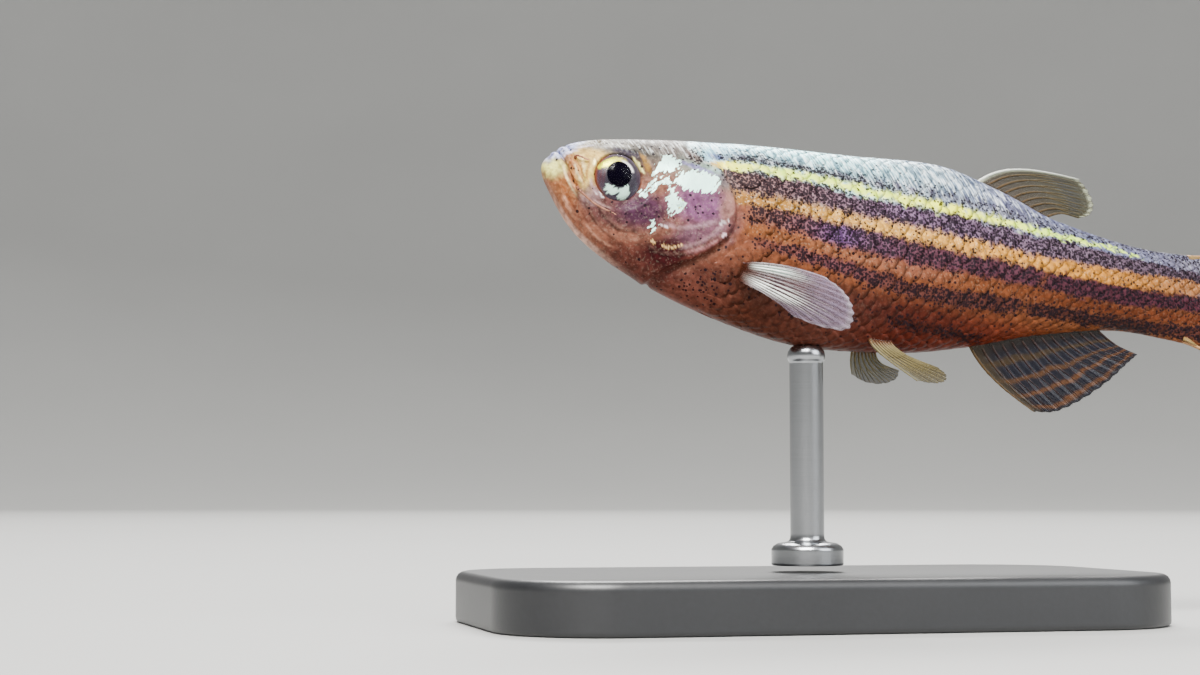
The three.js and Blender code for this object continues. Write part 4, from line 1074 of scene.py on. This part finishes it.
def dorsal_fin(finish):
    def root(t):
        x = 21.75 + 3.65 * t
        return rowed(x, 0, back_at(x) + GAP)

    form = Fin(
        rays=9,
        root=root,
        leave=lambda t: rowed(1.1, 0, 0.85 - 0.6 * t),
        margin=flat([(27.2, 4.82), (27.75, 4.4), (28.12, 3.7), (27.9, 3.1), (27.3, 2.78)]),
        bow=lambda t: rowed(0, 0, 0.5 * (1 - t) + 0.05),
        sway=lambda t, v: 0.12 * v * v * np.sin(5 * t),
        sink=lambda t: rowed(-0.1, 0, -0.5),
    )

    def membrane(t, v):
        tint = mix(linear("#2c2010"), linear("#30301e"), v)
        edge = np.maximum(1 - smoothstep(t, 0, 0.07), smoothstep(v, 0.95, 0.99))
        tint = mix(tint, linear("#1c1c22"), 0.6 * bump(v - 0.82, 0.08))
        tint = mix(tint, linear("#a4a890"), 0.85 * edge)
        return tint, 0.66 + 0.25 * edge - 0.12 * v, 0.1 + 0.2 * edge

    def rays(t, v):
        tint = mix(linear("#3f2e18"), linear("#4c4530"), v)
        tint = mix(tint, linear("#cdd2c6"), 0.9 * (1 - smoothstep(t, 0.02, 0.1)))
        return tint, full(v, 0.9), 0.2 + 0.5 * (1 - smoothstep(t, 0.02, 0.1))

    form.make("dorsal_fin_rayed", "dorsal_fin", finish, membrane, rays)


def banded(v, bands, base):
    """A base colour crossed by bands given as (centre, half width, colour)."""
    tint = base
    for centre, half, colour in bands:
        tint = mix(tint, linear(colour), 1 - smoothstep(np.abs(v - centre), 0.6 * half, 1.25 * half))
    return tint


def anal_fin(finish):
    def root(t):
        x = 22.2 + 6.5 * t
        return rowed(x, 0, belly_at(x) - GAP)

    form = Fin(
        rays=14,
        root=root,
        leave=lambda t: rowed(0.7 + 0.4 * t, 0, -0.8 + 0.5 * t),
        margin=flat([(25.9, -7.3), (27, -7.1), (28.3, -6.3), (29.6, -5.15), (30.5, -4.1), (31, -3.55)]),
        bow=lambda t: rowed(0.1, 0, -0.35 * (1 - t)),
        sway=lambda t, v: 0.15 * v * v * np.sin(4 * t + 1),
        sink=lambda t: rowed(-0.1, 0, 0.5),
    )
    dark, amber = "#090914", "#452811"
    bands = [(0.3, 0.04, "#2a1e0e"), (0.55, 0.03, "#3a2412"), (0.75, 0.028, amber), (0.93, 0.024, amber)]

    def membrane(t, v):
        shifted = v + 0.02 * wobble(t, v, 0.3, seed=31)
        tint = banded(shifted, bands, mix(linear("#1c140e"), linear(dark), smoothstep(v, 0.05, 0.25)))
        tint = mix(tint, linear("#2e2412"), 0.7 * (1 - smoothstep(t, 0.02, 0.14)))
        return tint, 0.92 - 0.15 * v, full(v, 0.1)

    def rays(t, v):
        tint = banded(v, bands, mix(linear("#2c1a0e"), linear("#14121c"), smoothstep(v, 0.02, 0.2)))
        tint = mix(tint, linear("#4a3a1e"), 0.8 * (1 - smoothstep(t, 0.02, 0.1)))
        return mix(tint, linear("#6a4420"), 0.1), full(v, 0.95), full(v, 0.12)

    form.make("anal_fin_rayed", "anal_fin", finish, membrane, rays)


def tail_fin(finish):
    x = BODY_LENGTH + GAP
    top, bottom = back_at(BODY_LENGTH) - 0.12, belly_at(BODY_LENGTH) + 0.12
    form = Fin(
        rays=19,
        root=lambda t: rowed(x, 0, top + (bottom - top) * t),
        leave=lambda t: rowed(2, 0, 0.35 * (1 - 2 * t)),
        margin=flat([
            (41.4, 5.15), (42.5, 4.75), (42.5, 3.6), (41.1, 2.1), (39.6, 0.7),
            (39.2, -0.2), (39.6, -1.1), (41.1, -2.6), (42.58, -4.2), (42.58, -5.4), (41.4, -5.8),
        ]),
        bow=lambda t: rowed(0, 0, 0.25 * (1 - 2 * t)),
        sway=lambda t, v: 0.9 * v * v + 0.12 * v * np.sin(9 * t),
        sink=lambda t: rowed(-0.9, 0, 0),
        thick=0.5,
    )
    dark = "#141422"
    bands = [
        (0.1, 0.06, "#35303a"), (0.27, 0.075, dark), (0.43, 0.07, dark), (0.59, 0.07, dark),
        (0.75, 0.075, dark), (0.91, 0.05, "#35303a"),
    ]

    def membrane(t, v):
        shifted = t + 0.012 * wobble(3 * t, v, 0.35, seed=41)
        pale = mix(linear("#8c5c2a"), linear("#7c7766"), smoothstep(v, 0.08, 0.5))
        tint = banded(shifted, bands, pale)
        outer = np.maximum(1 - smoothstep(t, 0, 0.07), smoothstep(t, 0.93, 1))
        tint = mix(tint, linear("#7a6c42"), 0.8 * outer)
        clear = smoothstep(v, 0.82, 1)
        tint = mix(tint, linear("#8c876c"), 0.45 * clear)
        return tint, 0.82 - 0.3 * clear, full(v, 0.15)

    def rays(t, v):
        tint = banded(t, bands, mix(linear("#96642e"), linear("#908b78"), smoothstep(v, 0.08, 0.5)))
        return mix(tint, linear("#b4af9c"), 0.15), full(v, 0.95), full(v, 0.25)

    form.make("tail_fin_rayed", "tail_fin", finish, membrane, rays, root_radius=0.11)


def paired_fin(side, rays, root_line, margin, lift, bow, sway):
    (x0, z0), (x1, z1) = root_line

    def root_of(t):
        return on_flank(x0 + (x1 - x0) * t, z0 + (z1 - z0) * t, side, GAP)

    return Fin(
        rays,
        root=lambda t: root_of(t)[0],
        leave=lambda t: lift * root_of(t)[1],
        margin=[(x, side * y, z) for x, y, z in margin],
        bow=lambda t: rowed(bow[0], side * bow[1], bow[2]),
        sway=lambda t, v: side * sway * v * v * np.sin(6 * t),
        sink=lambda t: -(GAP + 0.25) * root_of(t)[1],
    )


def pectoral_fin(side, word, finish):
    margin = [
        (13.2, 3.7, -3.75), (14.0, 3.75, -4.2), (14.55, 3.75, -4.75), (14.8, 3.65, -5.35),
        (14.7, 3.45, -5.9), (13.6, 3.15, -5.95), (12.2, 2.85, -5.65),
    ]
    if side > 0:
        margin = [(x + 0.2, y, z + 0.7) for x, y, z in margin]
    form = paired_fin(side, 12, [(9.75, -3.38), (9.68, -4.15)], margin, 0.8, (-0.3, 0.5, 0.28), 0.1)

    def membrane(t, v):
        tint = mix(linear("#3c1d14"), linear("#6b5c66"), smoothstep(v, 0.16, 0.5))
        # A painted sheen: a mint-white band over the membrane along the upper rays
        painted_sheen_band = bump(t - 0.16, 0.12) * smoothstep(v, 0.16, 0.34) * (1 - smoothstep(v, 0.45, 0.85))
        tint = mix(tint, linear("#dcfff0"), 0.85 * painted_sheen_band)
        tint = mix(tint, linear("#86778f"), 0.7 * smoothstep(v, 0.6, 0.9))
        edge = np.maximum(1 - smoothstep(t, 0, 0.05), smoothstep(v, 0.95, 1))
        opacity = 0.28 + 0.27 * painted_sheen_band + 0.25 * edge + 0.16 * smoothstep(v, 0.6, 0.9)
        return mix(tint, linear("#bdb2b8"), 0.6 * edge), opacity, full(v, 0.15)

    def rays(t, v):
        upper = bump(t - 0.16, 0.13) * smoothstep(v, 0.14, 0.34) * (1 - smoothstep(v, 0.5, 0.9))
        lower = bump(t - 0.72, 0.2) * bump(v - 0.52, 0.24)
        glint = np.clip(0.9 * upper + 1.2 * lower, 0, 1)
        tint = mix(linear("#4a2418"), linear("#766369"), smoothstep(v, 0.16, 0.5))
        opacity = 0.42 + 0.45 * glint - 0.1 * smoothstep(v, 0.7, 1)
        return mix(tint, linear("#fbfff8"), glint), opacity, np.clip(0.15 + 0.65 * glint, 0, 1)

    form.make(f"pectoral_fin_{word}_rayed", f"pectoral_fin_{word}", finish, membrane, rays, 0.07)


def pelvic_fin(side, word, finish):
    margins = {
        -1: [(18.9, 1.9, -7.35), (19.7, 2, -7.35), (20.3, 1.9, -7.1), (20.45, 1.65, -6.7), (20.1, 1.4, -6.4)],
        1: [(17.1, 2.1, -6.65), (17.9, 2.2, -6.85), (18.8, 2.1, -6.8), (19.3, 1.9, -6.5), (19.3, 1.6, -6.15)],
    }
    form = paired_fin(side, 8, [(16.6, -5.6), (17.7, -5.5)], margins[side], 0.5, (0, 0.1, -0.1), 0.08)

    def membrane(t, v):
        tint = mix(linear("#42200f"), linear("#383018"), smoothstep(v, 0.05, 0.35))
        tint = mix(tint, linear("#7c7658"), 0.6 * (1 - smoothstep(t, 0.03, 0.15)))
        return tint, 0.6 - 0.15 * v, full(v, 0.15)

    def rays(t, v):
        tint = mix(linear("#4e2812"), linear("#6a6040"), smoothstep(v, 0.05, 0.3))
        return tint, full(v, 0.85), 0.2 + 0.2 * smoothstep(v, 0.1, 0.3)

    form.make(f"pelvic_fin_{word}_rayed", f"pelvic_fin_{word}", finish, membrane, rays, 0.07, splits=1)


def feeler(path, root_radius, tip_radius, start):
    """A tapered, softly ringed feeler along a path, with its own faces from start on."""
    sides, steps = 12, 40
    share = np.linspace(0, 1, steps + 1)
    middle = through(path, share)
    flow = np.gradient(middle, axis=0)
    flow /= np.linalg.norm(flow, axis=1, keepdims=True)
    across = np.cross([0, 0, 1], flow)
    across /= np.linalg.norm(across, axis=1, keepdims=True)
    upward = np.cross(flow, across)
    radius = (root_radius + (tip_radius - root_radius) * share**0.8) * (1 + 0.05 * np.sin(60 * share))
    radius[-2:] *= [0.85, 0.5]
    points, faces = tube(middle, across, upward, radius, sides, start)
    return points, faces, np.append(np.repeat(share, sides), [0, 1])


def make_feelers(side, word, finish):
    corner, normal = on_flank(GAPE_CORNER[0] + 0.15, GAPE_CORNER[1] - 0.1, side, -0.12)
    long_path = [
        corner, corner + 0.5 * normal + [0.12, 0, -0.1],
        corner + 0.62 * normal + [0.95, 0.28 * side, -0.75],
        corner + 0.5 * normal + [1.95, 0.55 * side, -1.15],
    ]
    lip, normal = on_flank(1.32, 0.42, side, -0.15)
    short_path = [lip, lip + 0.35 * normal + [0.12, 0, -0.05], lip + 0.42 * normal + [0.7, 0.2 * side, -0.25]]
    long_points, long_faces, along = feeler(long_path, 0.085, 0.03, 0)
    short_points, short_faces, short_along = feeler(short_path, 0.075, 0.03, len(long_points))
    share = np.concatenate([along, short_along])
    tint = mix(linear("#7a4c3a"), linear("#8f6452"), share)
    marks = {"tint": tint, "speckle": full(share, 0.05), "silver": full(share, 0.1)}
    points = np.vstack([long_points, short_points])
    make_piece(f"barbels_{word}", points, long_faces + short_faces, finish, [f"barbel_{word}"], marks)


# Finishes


class Wire:
    """A node's output that takes part in arithmetic: each expression adds the Math nodes that it needs."""

    def __init__(self, finish, socket):
        self.finish, self.socket = finish, socket

    def _with(self, operation, first, second):
        return self.finish.node("ShaderNodeMath", {"operation": operation}, {0: first, 1: second})

    def __add__(self, other):
        return self._with("ADD", self, other)

    def __sub__(self, other):
        return self._with("SUBTRACT", self, other)

    def __rsub__(self, other):
        return self._with("SUBTRACT", other, self)

    def __mul__(self, other):
        return self._with("MULTIPLY", self, other)

    def __gt__(self, other):
        return self._with("GREATER_THAN", self, other)

    __radd__ = __add__
    __rmul__ = __mul__


class Finish:
    """A material that is being made: constants go straight on the shader, the rest comes from nodes."""

    def __init__(self, name, **constants):
        self.material = bpy.data.materials.new(name)
        self.material.use_nodes = True
        self.tree = self.material.node_tree
        self.shader = self.tree.nodes["Principled BSDF"]
        for socket, value in constants.items():
            self.shader.inputs[socket.replace("_", " ")].default_value = value

    def node(self, kind, settings=None, inputs=None, output=0):
        made = self.tree.nodes.new(kind)
        for name, value in (settings or {}).items():
            setattr(made, name, value)
        for name, value in (inputs or {}).items():
            self.feed(made.inputs[name], value)
        return Wire(self, made.outputs[output])

    def feed(self, socket, value):
        if isinstance(value, Wire):
            self.tree.links.new(value.socket, socket)
        else:
            socket.default_value = value

    def surface(self, **inputs):
        for name, value in inputs.items():
            self.feed(self.shader.inputs[name.replace("_", " ")], value)
        return self.material

    def mark(self, name, colour=False):
        return self.node("ShaderNodeAttribute", {"attribute_name": name}, output="Color" if colour else "Fac")

    def place(self):
        return self.node("ShaderNodeTexCoord", output="Object")

    def noise(self, place, size, detail=3):
        inputs = {"Vector": place, "Scale": 1 / size, "Detail": detail}
        return self.node("ShaderNodeTexNoise", {}, inputs)

    def stretched(self, place, turn, sizes):
        inputs = {"Vector": place, "Rotation": turn, "Scale": sizes}
        return self.node("ShaderNodeMapping", {"vector_type": "TEXTURE"}, inputs)

    def step(self, value, low, high):
        settings = {"interpolation_type": "SMOOTHSTEP"}
        return self.node("ShaderNodeMapRange", settings, {"Value": value, "From Min": low, "From Max": high})

    def blend(self, share, first, second, kind="MIX"):
        settings = {"data_type": "RGBA", "blend_type": kind, "clamp_factor": True}
        return self.node("ShaderNodeMix", settings, {0: share, 6: first, 7: second}, output=2)

    def bump(self, height, depth, strength=1):
        return self.node("ShaderNodeBump", {}, {"Height": height, "Distance": depth, "Strength": strength})


def rgba(colour):
    return (*(linear(colour) if isinstance(colour, str) else colour), 1)


def pigment_cells(skin, place, size, density):
    """Small round cells, of which a share shows by density."""
    cells = {"Vector": place, "Scale": 1 / size, "Randomness": 0.9}
    away = skin.node("ShaderNodeTexVoronoi", {"voronoi_dimensions": "3D"}, cells)
    chance = skin.node("ShaderNodeTexVoronoi", {"voronoi_dimensions": "3D"}, cells, "Color")
    chance = skin.node("ShaderNodeSeparateColor", {}, {"Color": chance}, "Red")
    return skin.step(away, 0.64, 0.44) * (density > chance)


def skin_finish():
    skin = Finish(
        "danio_skin", Coat_Roughness=0.16, Coat_IOR=1.33, Subsurface_Weight=0.05, Subsurface_Scale=0.0002,
        Subsurface_Radius=(1, 0.45, 0.3), IOR=1.36, Specular_IOR_Level=0.12,
    )
    place = skin.place()
    speckle, silver = skin.mark("speckle"), skin.mark("silver")
    tint = skin.mark("tint", colour=True)
    # Slanting streaks on the back: darker gaps between them, and the silver streaks lightened towards white
    # as a painted sheen
    slant = skin.stretched(place, (0, np.radians(-16), 0), (0.00009, 0.0007, 0.0007))
    streak = skin.noise(slant, 1, 2)
    shade = skin.mark("streaks") * skin.step(streak, 0.52, 0.36)
    tint = skin.blend(0.75 * shade, tint, rgba("#666c84"), "MULTIPLY")
    tint = skin.blend(0.6 * skin.mark("streaks") * skin.step(streak, 0.5, 0.64), tint, rgba("#f7ffff"))
    # Fine mottling, and pale flecks along the light stripes
    grain = skin.step(skin.noise(place, 0.00026, 8), 0.28, 0.72)
    tint = skin.blend(0.42, tint, skin.blend(grain, rgba("#3a2c2c"), rgba("#f4f4f4")), "OVERLAY")
    fleck = skin.step(skin.noise(place, 0.00011, 2), 0.54, 0.66)
    tint = skin.blend(0.5 * fleck * skin.mark("flecks"), tint, rgba("#fff0d2"))
    # Dark pigment cells in two sizes
    fine = pigment_cells(skin, place, 0.000112, speckle)
    coarse = pigment_cells(skin, place, 0.00015, 0.7 * speckle)
    ink = fine + coarse - fine * coarse
    tint = skin.blend(0.92 * ink, tint, rgba(INK))
    # Silver plates of the cheek and gill cover, broken up along their edges
    torn = skin.noise(skin.stretched(place, (0, np.radians(40), 0), (0.00012, 0.0003, 0.0003)), 1, 3)
    plate = skin.mark("plate")
    plate = skin.step(plate, 0.1, 0.3) * skin.step(plate + 2.4 * (torn - 0.5), 0.4, 0.56)
    tint = skin.blend(plate, tint, rgba("#d2fff0"))
    silver = silver + 0.5 * plate
    height = 0.5 * grain + 0.35 * streak - 0.2 * ink
    return skin.surface(
        Base_Color=tint,
        Roughness=0.5 - 0.22 * silver + 0.1 * grain,
        Metallic=0.45 * silver,
        Coat_Weight=0.12 * grain,
        Normal=skin.bump(height, 0.000012, 0.8),
    )


def fin_finish():
    fin = Finish("fin_membrane_and_rays", Coat_Roughness=0.15, Specular_IOR_Level=0.2, IOR=1.36)
    place = fin.place()
    grain = fin.noise(place, 0.00018, 3)
    mottle = fin.blend(grain, rgba("#4a4340"), rgba("#ffffff"))
    tint = fin.blend(0.3, fin.mark("tint", colour=True), mottle, "OVERLAY")
    return fin.surface(
        Base_Color=tint,
        Roughness=0.42 - 0.18 * fin.mark("silver"),
        Metallic=0.3 * fin.mark("silver"),
        Alpha=fin.mark("opacity") * (0.85 + 0.3 * grain),
        Coat_Weight=0.1 + 0.1 * grain,
        Normal=fin.bump(grain, 0.000006),
    )


def iris_finish():
    iris = Finish("iris", Specular_IOR_Level=0.3)
    place = iris.place()
    grain = iris.noise(place, 0.00012, 3)
    mottle = iris.blend(grain, rgba("#3a3338"), rgba("#ffffff"))
    tint = iris.blend(0.35, iris.mark("tint", colour=True), mottle, "OVERLAY")
    silver = iris.mark("silver")
    return iris.surface(
        Base_Color=tint, Metallic=0.45 * silver, Roughness=0.4 - 0.15 * silver,
        Normal=iris.bump(grain, 0.000012),
    )


def lens_finish():
    lens = Finish("lens", Specular_IOR_Level=0.0)
    depth = lens.noise(lens.place(), 0.0006, 2)
    tint = lens.blend(depth, rgba("#020105"), rgba("#07050f"))
    return lens.surface(Base_Color=tint, Roughness=0.45 + 0.1 * depth)


def cornea_finish():
    """Clear, with only its gloss showing."""
    cornea = Finish("cornea")
    gloss = cornea.node("ShaderNodeBsdfGlossy", {}, {"Roughness": 0.12})
    clear = cornea.node("ShaderNodeBsdfTransparent")
    share = 0.22 * cornea.node("ShaderNodeFresnel", {}, {"IOR": 1.34})
    both = cornea.node("ShaderNodeMixShader", {}, {0: share, 1: clear, 2: gloss})
    cornea.tree.nodes.remove(cornea.shader)
    cornea.tree.links.new(both.socket, cornea.tree.nodes["Material Output"].inputs["Surface"])
    return cornea.material


def base_finish():
    base = Finish("satin_black_base", Coat_Roughness=0.3, IOR=1.5)
    place = base.place()
    grain = base.noise(place, 0.00025, 4)
    cloud = base.noise(place, 0.006, 2)
    tint = base.blend(grain, rgba("#0d0e10"), rgba("#1a1b1e"))
    return base.surface(
        Base_Color=tint, Roughness=0.36 + 0.14 * cloud + 0.06 * grain, Coat_Weight=0.25 + 0.1 * cloud,
        Normal=base.bump(grain, 0.00001, 0.6),
    )


def rod_finish():
    rod = Finish("brushed_steel_rod", IOR=2.0)
    place = rod.place()
    rings = rod.noise(rod.stretched(place, (0, 0, 0), (0.004, 0.004, 0.00004)), 1, 3)
    tint = rod.blend(rings, rgba("#8f9194"), rgba("#a9abae"))
    return rod.surface(
        Base_Color=tint, Metallic=1.0, Roughness=0.2 + 0.1 * rings, Normal=rod.bump(rings, 0.000002, 0.5)
    )


def floor_finish():
    floor = Finish("studio_floor", Roughness=0.6)
    cloud = floor.noise(floor.place(), 0.09, 2)
    return floor.surface(Base_Color=floor.blend(cloud, rgba("#9b9b99"), rgba("#a1a19f")))


# Stand


def make_stand_piece(name, rings, finish, replaced):
    """A piece of the stand from closed rings of points in the stand's own frame, capped at both ends."""
    points = np.vstack([rings.reshape(-1, 3), rings[0].mean(0), rings[-1].mean(0)])
    make_piece(name, (points - SNOUT) @ TURN, capped_faces(*rings.shape[:2]), finish, replaced)


def turned(profile, spokes):
    """Rings of points round the upright axis from a profile of (radius, height)."""
    angle = 2 * np.pi * np.arange(spokes) / spokes
    return np.array([[(r * np.cos(a), r * np.sin(a), h) for a in angle] for r, h in profile])


def make_rod(finish):
    """The turned rod with its foot and the small cup that meets the belly."""
    foot, top = (corner.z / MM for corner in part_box("stand_rod"))
    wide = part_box("stand_rod")[1].x / MM
    tall = top - foot
    profile = [
        (0.9 * wide, 0), (wide - 0.06, 0), (wide, 0.06), (wide, 0.12), (wide, 0.7), (wide, 0.76),
        (wide - 0.1, 0.92), (wide - 0.3, 1.04), (wide - 0.5, 1.08), (1.02, 1.1), (0.9, 1.14), (0.82, 1.24),
        (0.8, 1.4), (0.8, 1.5), (0.8, 5), (0.8, 8.6), (0.8, tall - 0.5), (0.8, tall - 0.42),
        (0.84, tall - 0.36), (0.9, tall - 0.26), (0.9, tall - 0.05), (0.86, tall + 0.1),
        (0.74, tall + 0.28), (0.55, tall + 0.4), (0.3, tall + 0.45),
    ]
    rings = turned([(r, foot + h) for r, h in profile], 72)
    make_stand_piece("rod_turned", rings, finish, ["stand_rod"])


def make_base(finish):
    """The base as a plate with round corners and softened edges."""
    high = np.array(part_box("stand_base")[1]) / MM
    radius, arc = 5, np.linspace(0, np.pi / 2, 25)
    corner = high[:2] - radius

    def ring(inset, level):
        reach = max(radius - inset, 0.02)
        along, across = corner[0] + reach * np.cos(arc), corner[1] + reach * np.sin(arc)
        x = np.concatenate([along, -along[::-1], -along, along[::-1]])
        y = np.concatenate([across, across[::-1], -across, -across[::-1]])
        return np.stack([x, y, np.full_like(x, level)], -1)

    top = high[2]
    steps = [
        (3, 0), (0.3, 0), (0.12, 0.03), (0.02, 0.12), (0, 0.25), (0, 0.35), (0, 1.2), (0, top - 0.5),
        (0, top - 0.4), (0.03, top - 0.27), (0.12, top - 0.12), (0.27, top - 0.03), (0.4, top), (0.5, top),
        (2, top), (5, top),
    ]
    make_stand_piece("base_plate", np.array([ring(*step) for step in steps]), finish, ["stand_base"])


# Studio and camera


def make_floor(finish):
    """A pale floor that sweeps up all round, far from the model."""
    sweep = [(0.75 + 0.6 * np.sin(a), 0.6 - 0.6 * np.cos(a)) for a in np.linspace(0, np.pi / 2, 40)]
    profile = [(0.2, 0), (0.5, 0), (0.7, 0), *sweep, (1.35, 0.9), (1.35, 1.6)]
    spokes = 128
    rings = turned(profile, spokes)
    points = np.vstack([rings.reshape(-1, 3), [0, 0, 0]])
    faces = [grid_faces(len(rings), spokes, flip=True), fan_faces(len(points) - 1, np.arange(spokes))]
    make_object("floor", points, faces, finish)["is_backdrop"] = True


def softbox(name, place, size, power, colour):
    light = bpy.data.lights.new(name, "AREA")
    light.shape = "SQUARE"
    light.size, light.energy, light.color = size, power, colour
    holder = bpy.data.objects.new(name, light)
    holder.location = place
    holder.rotation_euler = (Vector((0, 0, 0.02)) - Vector(place)).to_track_quat("-Z", "Y").to_euler()
    bpy.context.scene.collection.objects.link(holder)


def make_studio():
    make_floor(floor_finish())
    softbox("key_softbox", (-0.2, -0.42, 0.62), 0.42, 24, (1, 0.985, 0.96))
    softbox("fill_softbox", (0.5, -0.5, 0.4), 0.5, 5.4, (0.94, 0.97, 1))
    softbox("rim_softbox", (0.15, 0.5, 0.62), 0.4, 12, (1, 0.99, 0.97))
    world = bpy.data.worlds.new("studio")
    world.use_nodes = True
    world.node_tree.nodes["Background"].inputs["Color"].default_value = (0.93, 0.95, 1, 1)
    world.node_tree.nodes["Background"].inputs["Strength"].default_value = 0.4
    bpy.context.scene.world = world


def make_camera():
    """The photograph's view: 14 degrees round to the fish's head, from a little below its level."""
    turn, tilt = np.radians(14), np.radians(4)
    snout_from_camera = np.array([22.33, 100.94, 15.29])
    ahead = Vector((np.sin(turn) * np.cos(tilt), np.cos(turn) * np.cos(tilt), np.sin(tilt)))
    camera = bpy.data.cameras.new("camera")
    camera.sensor_width = 36
    camera.lens = 66.99
    camera.clip_start, camera.clip_end = 0.001, 10
    holder = bpy.data.objects.new("camera", camera)
    right = ahead.cross(Vector((0, 0, 1))).normalized()
    upward = right.cross(ahead)
    axes = Matrix((right, upward, -ahead)).transposed().to_4x4()
    axes.translation = Vector((SNOUT - snout_from_camera) * MM)
    holder.matrix_world = axes
    bpy.context.scene.collection.objects.link(holder)
    bpy.context.scene.camera = holder


living = skin_finish()
reach_of_ring, ring_count = make_skin(living)
make_scales(living, reach_of_ring[:-REAR_RINGS], ring_count)
rayed = fin_finish()
iris, lens, cornea = iris_finish(), lens_finish(), cornea_finish()
for side, word in ((-1, "left"), (1, "right")):
    make_eye(side, word, iris, lens, cornea)
    make_feelers(side, word, living)
    pectoral_fin(side, word, rayed)
    pelvic_fin(side, word, rayed)
dorsal_fin(rayed)
anal_fin(rayed)
tail_fin(rayed)
make_base(base_finish())
make_rod(rod_finish())
make_studio()
make_camera()

boxes = {"cad": cad_box, "visual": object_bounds()}
{name: [list(corner) for corner in box] for name, box in boxes.items()}
